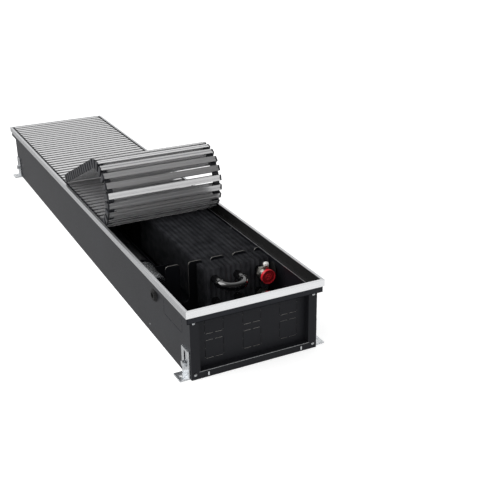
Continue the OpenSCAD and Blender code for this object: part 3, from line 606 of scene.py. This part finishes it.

# %% [markdown]
# ## Bright edge of the sills
# Below each end panel the casing ends in a low sill, whose cut edge shows as one straight bright line.
# The edge of the sheet alone is thinner than that line looks, so a slim strip of bright zinc is laid
# on it as a painted highlight, one block at each end, and lightly rounded.

# %% Sill edges
# Painted highlight: a bright zinc strip wider than the sheet's real cut edge.
EDGE_X, EDGE_Y, EDGE_LOW, EDGE_HIGH = 102.0, 0.3, SILL - 0.6, SILL + 0.1
edges = [add_block("edge", (-EDGE_X, end*END_Y - EDGE_Y, EDGE_LOW),
                   (EDGE_X, end*END_Y + EDGE_Y, EDGE_HIGH)) for end in (-1, 1)]
settle(soften(join("sill_edge_painted_highlight", *edges), width=0.15, segments=1), "casing", zinc, "zinc")

# %% [markdown]
# ## The frame
# Four extruded bars are mitred at the corners. Each has a bright lip on top, an outer face that hides
# the edge of the floor covering, an inner leg, and a ledge for the grille. One bar is modelled from a
# flat strip, whose lower faces are pulled down and inwards as the profile goes, and its ends are cut
# off at 45 degrees. The others are made the same way and turned, so the mitres meet. The inner face of
# the leg gets the black rubber finish as painted shade, so that only the lip is bright beside the
# slats.

# %% Frame bars
frame_low, frame_high = box_mm("frame_front")
side_low, side_high = box_mm("frame_left")
FRAME_W, FRAME_L, FRAME_H = frame_high.x - frame_low.x, side_high.y - side_low.y, side_high.z
LIP, WALL, SKIRT, LEDGE = 5.0, 1.5, 12.0, 7.0
LEDGE_LOW = side_low.z


def frame_bar(name, length, outer):
    """A mitred bar along Y whose outer face stands at x = -outer."""
    bar = add_block(name, (-outer, -length/2, FRAME_H - WALL), (LIP - outer, length/2, FRAME_H))
    for x in (WALL - outer, LIP - WALL - outer):
        bisect(bar, (x, 0, 0), (1, 0, 0))
    pick(bar, lambda c, n: n.z < -FACING and c.x < WALL - outer)
    extrude((0, 0, WALL - SKIRT))
    pick(bar, lambda c, n: n.z < -FACING and c.x > LIP - WALL - outer)
    extrude((0, 0, LEDGE_LOW + 2*WALL - FRAME_H))
    pick(bar, lambda c, n: n.z < -FACING and c.x > LIP - WALL - outer)
    extrude((0, 0, -WALL))
    pick(bar, lambda c, n: n.x > FACING and c.z < LEDGE_LOW + WALL)
    extrude((LEDGE, 0, 0))
    for end in (-1, 1):
        bisect(bar, (-outer, end*length/2, 0), (1, end, 0), cut_away=True)
    return bar


for name, node, length, outer, turn, finish in (
        ("left_frame_bar", "frame_left", FRAME_L, FRAME_W/2, 0, frame_along_y),
        ("near_frame_bar", "frame_front", FRAME_W, FRAME_L/2, 90, frame_along_x),
        ("right_frame_bar", "frame_right", FRAME_L, FRAME_W/2, 180, frame_along_y),
        ("far_frame_bar", "frame_rear", FRAME_W, FRAME_L/2, 270, frame_along_x)):
    bar = frame_bar(name, length, outer)
    outward(bar)
    soften(bar, width=0.3)
    settle(bar, "casing", finish, "frame", node)
    # Painted shade: the inner face of the leg gets the black rubber finish.
    second_finish(bar, rubber, lambda c, n: n.x > FACING and abs(c.x - LIP + outer) < 0.1
                  and LEDGE_LOW + WALL < c.z < FRAME_H - WALL)
    bar.data.transform(Matrix.Rotation(math.radians(turn), 4, "Z"))

# %% [markdown]
# ## Black rim under the frame
# Black sheet is put under the frame's outer face as painted shade, where the lower part of the frame's
# leg would show bright below the skirt. It is shaped as the casing's flange turned up under the frame,
# right up to the lower edge of its outer face. Each side has an upright rim and a foot that joins it
# to the flange. Straight folds need no more than blocks, which reach into each other at the corners.

# %% Casing rim
RIM_T, RIM_IN, FOOT_W = 1.0, LIP - WALL - 0.2, 2
RIM_LOW, FOOT_TOP, RIM_TOP = casing_high.z - 1.15, casing_high.z - 0.05, FRAME_H - SKIRT - 0.5
# Painted shade: black sheet below the skirt of the frame.
rim = []
for side in (-1, 1):
    for half, other, across in ((FRAME_W/2, FRAME_L/2, False), (FRAME_L/2, FRAME_W/2, True)):
        wall, end = half - RIM_IN, other - RIM_IN + RIM_T
        for inner, top in ((wall, RIM_TOP), (wall - FOOT_W, FOOT_TOP)):
            x = sorted((side*inner, side*(wall + RIM_T)))
            low, high = (x[0], -end, RIM_LOW), (x[1], end, top)
            if across:
                low, high = (-end, x[0], RIM_LOW), (end, x[1], top)
            rim.append(add_block("rim", low, high))
rim = soften(join("casing_rim_under_frame", *rim), width=0.2, segments=1)
settle(rim, "casing", powder_coat, "casing")

# %% [markdown]
# ## Grille slats
# Every slat is a small aluminium I-beam. It is modelled from its web: the web is cut
# just inside both edges, and the narrow faces are pulled out to both sides to make the
# flanges. The lower flange is a little wider and has a groove along it. In the roll it
# faces outwards, and the groove draws a fine dark line on each slat, as a thin rib
# half-way up the web draws a light one in the gaps. The slat is modelled once, with its
# middle at the origin, and then copied.

# %% One slat
HINGES = {j["name"]: [v/MM for v in j["pos_m"]] for j in frame["joints"]
          if j["name"].startswith("roll_hinge")}
BEND = len(HINGES)
PITCH = 17.5
SLAT_H, WEB_T = 18.0, 2.0
FLANGE_W, LOWER_W, FLANGE_T = 10.0, 11.6, 1.5
GROOVE_W, GROOVE_D = 2.4, 1.2
SINK = 0.15      # the lower face is raised by this, or the roll would pass the CAD box
CAP_T = 3.2      # thickness of the black cap on each end
GRILLE_END = box_mm("flat_grille")[1]
HALF_LEN = GRILLE_END.x
RIB_T, RIB_W, RIB_END = 1.4, 3.2, HALF_LEN - 18

slat = add_block("slat", (CAP_T - HALF_LEN, -WEB_T/2, SINK - SLAT_H/2),
                 (HALF_LEN - CAP_T, WEB_T/2, SLAT_H/2))
for side in (-1, 1):
    bisect(slat, (0, 0, side*(SLAT_H/2 - FLANGE_T)), (0, 0, 1))
for side in (-1, 1):
    bisect(slat, (0, 0, side*RIB_T/2), (0, 0, 1))
    bisect(slat, (side*RIB_END, 0, 0), (1, 0, 0))
for side in (-1, 1):
    for upper, width in ((1, FLANGE_W), (-1, LOWER_W)):
        pick(slat, lambda c, n: n.y*side > FACING and c.z*upper > SLAT_H/2 - FLANGE_T)
        extrude((0, side*(width - WEB_T)/2, 0))
    pick(slat, lambda c, n: n.y*side > FACING and abs(c.z) < RIB_T/2 and abs(c.x) < RIB_END)
    extrude((0, side*RIB_W, 0))
outward(slat)
cut_out(slat, add_block("groove", (-HALF_LEN, -GROOVE_W/2, -SLAT_H),
                        (HALF_LEN, GROOVE_W/2, GROOVE_D - SLAT_H/2)))
soften(slat, width=0.3)
print("slat:", len(slat.data.polygons), "faces,", round(2*(HALF_LEN - CAP_T)), "mm long")

# %% [markdown]
# ## Links at the slat ends
# A black nylon link is pushed on each end of a slat: a cap over the end, a block in each
# channel, an eye on one side, and a fork with a steel pin on the other. The eye of one
# slat turns in the fork of the next, so the grille rolls like a shutter. A link is
# modelled once for the left end, from rounded blocks and knuckles, and mirrored. The
# first and the last slat of the grille have only one of the two, as nothing follows.

# %% One pair of links
KNUCKLE, PIN = 4.5, 1.5                     # radii
EYE_W, EAR_W, PLAY = 4.0, 3.2, 0.3
HINGE_W = EYE_W + 2*EAR_W + 2*PLAY
OVERLAP, FIT, STUB = 0.5, 0.05, 1
BLOCK_Y = PITCH/2 - KNUCKLE - 0.85          # clear of the next link's knuckle
CHANNEL = SLAT_H/2 - FLANGE_T - 0.2         # half the height of the block between flanges
NECK = KNUCKLE - 0.4


def knuckle(name, side, x_low, width):
    """A round knuckle on the hinge line with a neck back to the block."""
    ring = add_rod(name, "x", KNUCKLE, x_low, width, (side*PITCH/2, 0), sides=16)
    neck_y = sorted((side*(BLOCK_Y - OVERLAP), side*PITCH/2))
    neck = add_block(name, (x_low, neck_y[0], -NECK), (x_low + width, neck_y[1], NECK))
    return [ring, neck]


def link_pair(name, eye=True, fork=True):
    """The links of both ends of a slat, each with an eye, a fork or both."""
    x = -HALF_LEN
    parts = [add_block(name, (x, -FLANGE_W/2, -SLAT_H/2), (x + CAP_T - FIT, FLANGE_W/2, SLAT_H/2)),
             add_block(name, (x + 2*FIT, -LOWER_W/2, SINK - SLAT_H/2),
                       (x + CAP_T - 2*FIT, LOWER_W/2, -CHANNEL))]
    for side, wanted in ((1, eye), (-1, fork)):
        deep = x + CAP_T + (HINGE_W if wanted else STUB)
        ys = sorted((side*(WEB_T/2 + FIT), side*BLOCK_Y))
        parts.append(add_block(name, (x + OVERLAP, ys[0], -CHANNEL), (deep, ys[1], CHANNEL)))
    if eye:
        parts += knuckle(name, 1, x + CAP_T + EAR_W + PLAY, EYE_W)
    if fork:
        for start in (x + CAP_T, x + CAP_T + HINGE_W - EAR_W):
            parts += knuckle(name, -1, start, EAR_W)
        parts.append(add_rod(name, "x", PIN, x + CAP_T + EAR_W - OVERLAP,
                             EYE_W + 2*PLAY + 2*OVERLAP, (-PITCH/2, 0), sides=12))
    left = join(name, *parts)
    outward(left)
    soften(left, width=0.25, segments=1)
    mirrored = copy_of(left, name + "_right", Matrix.Scale(-1, 4, (1, 0, 0)))
    outward(mirrored)
    return join(name, left, mirrored)


links_both = link_pair("links_both")
links_last = link_pair("links_last", eye=False)
links_first = link_pair("links_first", fork=False)
print("link pair:", len(links_both.data.polygons), "faces")

# %% [markdown]
# ## The flat part of the grille
# The slats from the roll to the far end lie on the ledge at an even pitch. They are
# copies of the one slat, joined to one piece, since they lift off together. Their number
# follows from the room between the first hinge and the end of the CAD grille.

# %% Flat slats
hinge_height = HINGES["roll_hinge_01"][2]
first_y = HINGES["roll_hinge_01"][1] + PITCH/2
FLAT = round((GRILLE_END.y - FLANGE_W/2 - first_y)/PITCH) + 1
flat_slats, flat_links = [], []
for i in range(FLAT):
    place = moved(0, first_y + i*PITCH, hinge_height)
    flat_slats.append(copy_of(slat, f"flat_slat_{i}", place))
    flat_links.append(copy_of(links_last if i == FLAT - 1 else links_both, f"flat_link_{i}", place))
settle(join("flat_slats", *flat_slats), "grille", slat_finish, "slats", "flat_grille")
settle(join("flat_slat_links", *flat_links), "grille", nylon, "rubber")

# %% [markdown]
# ## The roll
# Each slat of the bend turns about the hinge to the slat before it. Its place comes from
# the frame: the joints say where the hinges are, and the line from one hinge to the next
# says how far the slat has turned. The last slat of the bend turns on by the same step as
# the one before, and the slats of the tail lie straight behind it, as one piece. Each
# slat of the bend is a piece of its own, since it rides on a body of its own.

# %% Rolled slats
ROLLED = 25
turned, tail_slats, tail_links = [], [], []
for k in range(1, ROLLED + 1):
    if k <= BEND:
        here = Vector(HINGES[f"roll_hinge_{k:02d}"])
        if k < BEND:
            there = HINGES[f"roll_hinge_{k + 1:02d}"]
            angle = math.atan2(there[2] - here.z, here.y - there[1]) % (2*math.pi)
        else:
            angle = 2*turned[-1] - turned[-2]
        turned.append(angle)
    else:
        here = here + PITCH*Vector((0, -math.cos(angle), math.sin(angle)))
    place = moved(*here) @ Matrix.Rotation(-angle, 4, "X") @ moved(0, -PITCH/2, 0)
    rolled_slat = copy_of(slat, f"rolled_slat_{k:02d}", place)
    rolled_links = copy_of(links_first if k == ROLLED else links_both, f"rolled_links_{k:02d}",
                           place)
    if k < BEND:
        settle(rolled_slat, f"roll_{k:02d}", slat_finish, "slats", f"roll_slat_{k:02d}")
        settle(rolled_links, f"roll_{k:02d}", nylon, "rubber")
    else:
        tail_slats.append(rolled_slat)
        tail_links.append(rolled_links)
settle(join("tail_slats", *tail_slats), "roll_tail", slat_finish, "slats", "roll_tail")
settle(join("tail_slat_links", *tail_links), "roll_tail", nylon, "rubber")
for template in (slat, links_both, links_last, links_first):
    bpy.data.objects.remove(template)
print("slats turned in the bend, in degrees:", [round(math.degrees(a), 1) for a in turned])

# %% [markdown]
# ## Fins of the heat exchanger
# The exchanger carries thin aluminium fins about 5 mm apart. Each is pressed into waves,
# so the pack looks like cloth from above. One fin is a sheet whose every second column
# of points is pushed forward, thickened to a quarter of a millimetre. An Array modifier
# repeats it, which keeps the pitch exact. Between two comb plates there is room for 62
# fins, and the first plate stands half-way between two of them.

# %% Fin pack
COMB_PITCH, COMB_T, FINS_BETWEEN, FINS_BEFORE = 296, 1.5, 62, 7.5
WAVE, WAVE_DEPTH, FIN_T = 10.0, 1.5, 0.25
FIN_PITCH = COMB_PITCH/FINS_BETWEEN
pack_low, pack_high = box_mm("fin_pack")
PACK_W, PACK_H = pack_high.x - pack_low.x, pack_high.z - pack_low.z
columns = 2*round(PACK_W/WAVE)
step = PACK_W/columns
fin_y = box_mm("braces")[0].y + COMB_T/2 - FINS_BEFORE*FIN_PITCH

bpy.ops.object.select_all(action="DESELECT")
bpy.ops.mesh.primitive_grid_add(
    x_subdivisions=columns, y_subdivisions=1, size=1, rotation=(math.pi/2, 0, 0),
    location=Vector(((pack_low.x + pack_high.x)/2, fin_y, (pack_low.z + pack_high.z)/2))*MM)
fin = bpy.context.object
fin.name = "wavy_fins"
fin.scale = (PACK_W*MM, PACK_H*MM, 1)
apply_place(fin)
pick(fin, edges=lambda a, b: abs(a.x - b.x) < 0.1 and round((a.x - pack_low.x)/step) % 2 == 1)
shift((0, WAVE_DEPTH, 0))
modify(fin, "SOLIDIFY", thickness=FIN_T*MM, offset=0)
fins = math.floor((pack_high.y - WAVE_DEPTH - fin_y)/FIN_PITCH) + 1
modify(fin, "ARRAY", count=fins, use_relative_offset=False, use_constant_offset=True,
       constant_offset_displace=(0, FIN_PITCH*MM, 0))
settle(fin, "casing", fin_varnish, "fins", "fin_pack")
print(fins, "fins, one every", round(FIN_PITCH, 2), "mm")

# %% [markdown]
# ## Pipe bends
# The pipes are joined by half-turn bends, soldered into short sockets. A ring of points
# is spun round half a turn, as the real bend is drawn round a mandrel, and its open ends
# are filled. The sockets are widened ends that taper to the bend, with a soft bead of
# solder at the mouth. One bend is made and copied: two lie flat at each end of the pack,
# and one at the far end stands upright between the rows of pipes.

# %% Return bends
PIPE_R, BEND_R, BEND_SIDES = 7.5, 22.0, 28
SOCKET_R, SOCKET_L = 8.45, 8.0
TAPER_START, TAPER_L = -0.1, 1.9
BEAD_OUT, BEAD_L = 0.5, 1.4
PIPE_X, PIPE_Z = (3.0, 47.0, 91.0), (42.0, 86.0)
bends_low, bends_high = box_mm("return_bends")
NEAR_BEND_Y, FAR_BEND_Y = bends_low.y + BEND_R + PIPE_R, bends_high.y - BEND_R - PIPE_R


def return_bend(name):
    """A half turn in the XY plane towards +Y with sockets towards -Y."""
    bpy.ops.object.select_all(action="DESELECT")
    bpy.ops.mesh.primitive_circle_add(vertices=BEND_SIDES, radius=PIPE_R*MM,
                                      location=(BEND_R*MM, 0, 0), rotation=TURN["y"])
    bend = apply_place(bpy.context.object)
    bpy.ops.object.mode_set(mode="EDIT")
    bpy.ops.mesh.select_all(action="SELECT")
    bpy.ops.mesh.spin(steps=BEND_SIDES, angle=math.pi, center=(0, 0, 0), axis=(0, 0, 1))
    bpy.ops.mesh.select_all(action="SELECT")
    bpy.ops.mesh.fill_holes(sides=0)
    bpy.ops.object.mode_set(mode="OBJECT")
    if max(v.co.y for v in bend.data.vertices) < BEND_R*MM:
        bend.data.transform(Matrix.Rotation(math.pi, 4, "Z"))
    parts = [bend]
    for side in (-1, 1):
        at = (side*BEND_R, 0)
        parts.append(add_rod(name, "y", SOCKET_R, -SOCKET_L, SOCKET_L, at, BEND_SIDES))
        parts.append(add_rod(name, "y", SOCKET_R, TAPER_START, TAPER_L, at, BEND_SIDES, PIPE_R))
        parts.append(add_rod(name, "y", SOCKET_R + BEAD_OUT, -SOCKET_L, BEAD_L, at, BEND_SIDES))
    bend = join(name, *parts)
    outward(bend)
    return bend


pattern = return_bend("bend_pattern")
turns = []
for z in PIPE_Z:
    turns.append(moved((PIPE_X[0] + PIPE_X[1])/2, NEAR_BEND_Y, z) @ Matrix.Rotation(math.pi, 4, "Z"))
    turns.append(moved((PIPE_X[1] + PIPE_X[2])/2, FAR_BEND_Y, z))
turns.append(moved(PIPE_X[0], FAR_BEND_Y, sum(PIPE_Z)/2) @ Matrix.Rotation(math.pi/2, 4, "Y"))
bends = join("soldered_bends", *[copy_of(pattern, f"bend_{i}", t) for i, t in enumerate(turns)])
bpy.data.objects.remove(pattern)
soften(bends, width=0.3, segments=1)
settle(bends, "casing", gloss_varnish, "pipes", "return_bends")

# %% [markdown]
# ## Screws
# Pan-head screws hold the end panels and the frame, and two more sit in the side walls.
# The head is a low cylinder whose upper rim is pushed down to make a dome, and two thin
# blocks are cut out of it as the cross recess. It is modelled once along Z, and each copy
# is turned to its hole. Small bright tabs hold the panel in the sill of each end.

# %% One screw
HEAD_R, HEAD_H, HEAD_INSET, DOME_DROP = 2.6, 1.6, 0.9, 0.7
CROSS_L, CROSS_W, CROSS_TOP, CROSS_FLOOR = 1.5, 0.3, -3, -0.9
SHANK_R, SHANK_L, SHANK_START = 1.5, 5.0, -0.2


def on_rim(p):
    """Whether a point of the head lies on the outer edge of its top."""
    return abs(p.z + HEAD_H) < 0.01 and abs(p.xy.length - HEAD_R) < 0.1


screw = add_rod("screw", "z", HEAD_R, -HEAD_H, HEAD_H, (0, 0), sides=20)
pick(screw, lambda c, n: n.z < -FACING)
bpy.ops.mesh.inset(thickness=HEAD_INSET*MM)
bpy.ops.object.mode_set(mode="OBJECT")
pick(screw, edges=lambda a, b: on_rim(a) and on_rim(b))
shift((0, 0, DOME_DROP))
cross = join("cross", add_block("a", (-CROSS_L, -CROSS_W, CROSS_TOP), (CROSS_L, CROSS_W, CROSS_FLOOR)),
             add_block("b", (-CROSS_W, -CROSS_L, CROSS_TOP), (CROSS_W, CROSS_L, CROSS_FLOOR)))
cut_out(screw, cross, use_self=True)
screw = join("screw", screw, add_rod("shank", "z", SHANK_R, SHANK_START, SHANK_L, (0, 0), 12))
print("screw:", len(screw.data.polygons), "faces")

# %% Screws and tabs in their places
PANEL_SCREWS = [(x, z) for x in (-109, 109) for z in (9, 103)]
FRAME_SCREWS, FRAME_SCREW_X, FRAME_SCREW_Z = 6, 118.4, LEDGE_LOW - 1.2
FRAME_SCREW_RUN, FRAME_SCREW_SIZE = 2*END_Y - 80, (0.84, 0.84, 0.56, 1)
WALL_SCREW_X, WALL_SCREWS, SUNK = 114.8, ((-1, -405, 15), (1, -263, 103)), (1, 1, 0.25, 1)
TAB_X, TAB_W, TAB_LOW, TAB_HIGH = 86, 1.3, 3.2, 9.8

placed = []
for end in (-1, 1):
    for x, z in PANEL_SCREWS:
        place = (Matrix.Rotation(0 if end < 0 else math.pi, 4, "Z") @ moved(x, -END_Y, z)
                 @ Matrix.Rotation(-math.pi/2, 4, "X"))
        placed.append(copy_of(screw, "screw_copy", place))
for side in (-1, 1):
    for i in range(FRAME_SCREWS):
        y = (i/(FRAME_SCREWS - 1) - 0.5)*FRAME_SCREW_RUN
        place = moved(side*FRAME_SCREW_X, y, FRAME_SCREW_Z) @ Matrix.Diagonal(FRAME_SCREW_SIZE)
        placed.append(copy_of(screw, "screw_copy", place))
for side, y, z in WALL_SCREWS:
    place = (moved(side*WALL_SCREW_X, y, z) @ Matrix.Rotation(side*math.pi/2, 4, "Y")
             @ Matrix.Diagonal(SUNK))
    placed.append(copy_of(screw, "screw_copy", place))
for end in (-1, 1):
    for x in (-TAB_X, TAB_X):
        placed.append(add_block("tab", (x - TAB_W, end*END_Y - TAB_W, TAB_LOW),
                                (x + TAB_W, end*END_Y + TAB_W, TAB_HIGH)))
bpy.data.objects.remove(screw)
screws = join("screws_and_tabs", *placed)
soften(screws, width=0.2, segments=1)
settle(screws, "casing", zinc, "zinc", "casing_screws")

# %% [markdown]
# ## Finishes for the CAD nodes that stay
# The remaining CAD nodes are smooth or hidden deep inside, so their shape does as it is.
# Only their finish changes: the new material goes into the node's own material slots.

# %% Finishes on CAD nodes
for node, finish in (("rest_strips", rubber), ("pipes", gloss_varnish), ("fan_housing", powder_coat),
                     ("drive_coupling", rubber), ("impeller", varnish), ("bearing_plate", zinc),
                     ("far_bearing", rubber), ("motor_cable", rubber)):
    mesh = frame["nodes"][node].data
    mesh.materials.clear()
    mesh.materials.append(finish)
    print(node, "->", finish.name)

# %% [markdown]
# ## Floor
# The heater lies on plain white. To light a floor to pure white would need far too much
# light on the object, so the floor is pale and matt, and adds a glow of its own for the
# camera alone. The glow isn't full, so a faint shadow stays. Metal that mirrors the floor
# sees a glow too, which is stronger in front of the heater than beside it.

# %% Floor
WHITE = linear("#ffffff")
FLOOR_SIZE, FLOOR_MIDDLE = 14, (0, 1.5, -0.0005)
bpy.ops.object.select_all(action="DESELECT")
bpy.ops.mesh.primitive_plane_add(size=FLOOR_SIZE, location=FLOOR_MIDDLE)
floor = apply_place(bpy.context.object)
floor.name = "studio_floor"
floor_finish = bpy.data.materials.new("pale_studio_floor")
tree = empty_tree(floor_finish)
ray = add_node(tree, "LightPath").outputs
where = add_node(tree, "TexCoord").outputs["Object"]
across = add_node(tree, "SeparateXYZ", links={"Vector": where})
fading = add_node(tree, "MapRange", {
    "From Min": -0.75, "From Max": -0.5, "To Min": 1.0, "To Max": 0.6},
    {"Value": across.outputs["Y"]})
matt = add_node(tree, "BsdfDiffuse", {"Color": linear("#e8e8e8")})
lift = add_node(tree, "MapRange", {"To Max": 0.66}, {"Value": ray["Is Camera Ray"]})
glow = add_node(tree, "Emission", {"Color": WHITE}, {"Strength": lift})
seen = add_node(tree, "AddShader", links={0: matt, 1: glow})
in_metal = add_node(tree, "Emission", {"Color": WHITE}, {"Strength": fading})
both = add_node(tree, "MixShader", links={"Fac": ray["Is Glossy Ray"], 1: seen, 2: in_metal})
add_node(tree, "OutputMaterial", links={"Surface": both})
floor.data.materials.append(floor_finish)
print("floor of", FLOOR_SIZE, "m")

# %% [markdown]
# ## World
# The world is white to the camera, a studio to reflections, and a plain, even light to
# everything else. The studio is bright behind and dark in front, with a light strip low
# down. Its tones are colour stops over the angle about the slats' long axis, from the
# near horizon over the top to the far one, so that each slat of the roll mirrors a tone
# of its own.

# %% World
world = bpy.data.worlds.new("white_studio")
bpy.context.scene.world = world
tree = empty_tree(world)
ray = add_node(tree, "LightPath").outputs
direction = add_node(tree, "TexCoord").outputs["Generated"]
parts = add_node(tree, "SeparateXYZ", links={"Vector": direction}).outputs
nearward = add_node(tree, "Math", {"operation": "MULTIPLY", 1: -1}, {0: parts["Y"]})
angle = add_node(tree, "Math", {"operation": "ARCTAN2"}, {0: parts["Z"], 1: nearward})
share = add_node(tree, "MapRange", {"From Min": 0.0, "From Max": math.pi}, {"Value": angle})
sky = add_node(tree, "ValToRGB", {"stops": [
    (0.0, "#ffffff"), (0.10, "#757270"), (0.17, "#403e3d"), (0.38, "#464544"),
    (0.56, "#b4b4b4"), (0.72, "#f4f4f4"), (0.84, "#f2f2f2"), (1.0, "#f2f2f2")]}, {"Fac": share})
plain = add_node(tree, "Background", {"Color": WHITE, "Strength": 0.55})
studio = add_node(tree, "Background", {"Strength": 1.0}, {"Color": sky})
white = add_node(tree, "Background", {"Color": WHITE, "Strength": 1.0})
lighting = add_node(tree, "MixShader", links={"Fac": ray["Is Glossy Ray"], 1: plain, 2: studio})
shown = add_node(tree, "MixShader", links={"Fac": ray["Is Camera Ray"], 1: lighting, 2: white})
add_node(tree, "OutputWorld", links={"Surface": shown})
print("sky of", len(sky.color_ramp.elements), "tones")

# %% [markdown]
# ## Lamps
# One wide soft lamp stands high on the left, towards the far end. A small one at the near
# left lightens the shaded side of the roll. It is left out of reflections, where it would
# show as a bright square. The view transform is the plain one, which shows a colour as it
# is written.

# %% Lamps and view
def area_lamp(name, place, target, size, power):
    """A rectangular lamp that looks at a target; places and sizes in metres."""
    lamp_data = bpy.data.lights.new(name, "AREA")
    lamp_data.shape = "RECTANGLE"
    lamp_data.size, lamp_data.size_y, lamp_data.energy = size[0], size[1], power
    lamp = bpy.data.objects.new(name, lamp_data)
    bpy.context.scene.collection.objects.link(lamp)
    lamp.location = place
    aim = Vector(target) - Vector(place)
    lamp.rotation_euler = aim.to_track_quat("-Z", "Y").to_euler()
    print(name, "at", place)
    return lamp


area_lamp("key_softbox", place=(-1.6, 1.0, 2.1), target=(0, 0, 0.05), size=(1.8, 2.4), power=34)
fill = area_lamp("roll_fill", place=(-0.6, -0.45, 0.42), target=(-0.03, -0.15, 0.13),
                 size=(0.5, 0.4), power=2.3)
fill.visible_glossy = False
bpy.context.scene.view_settings.view_transform = "Standard"
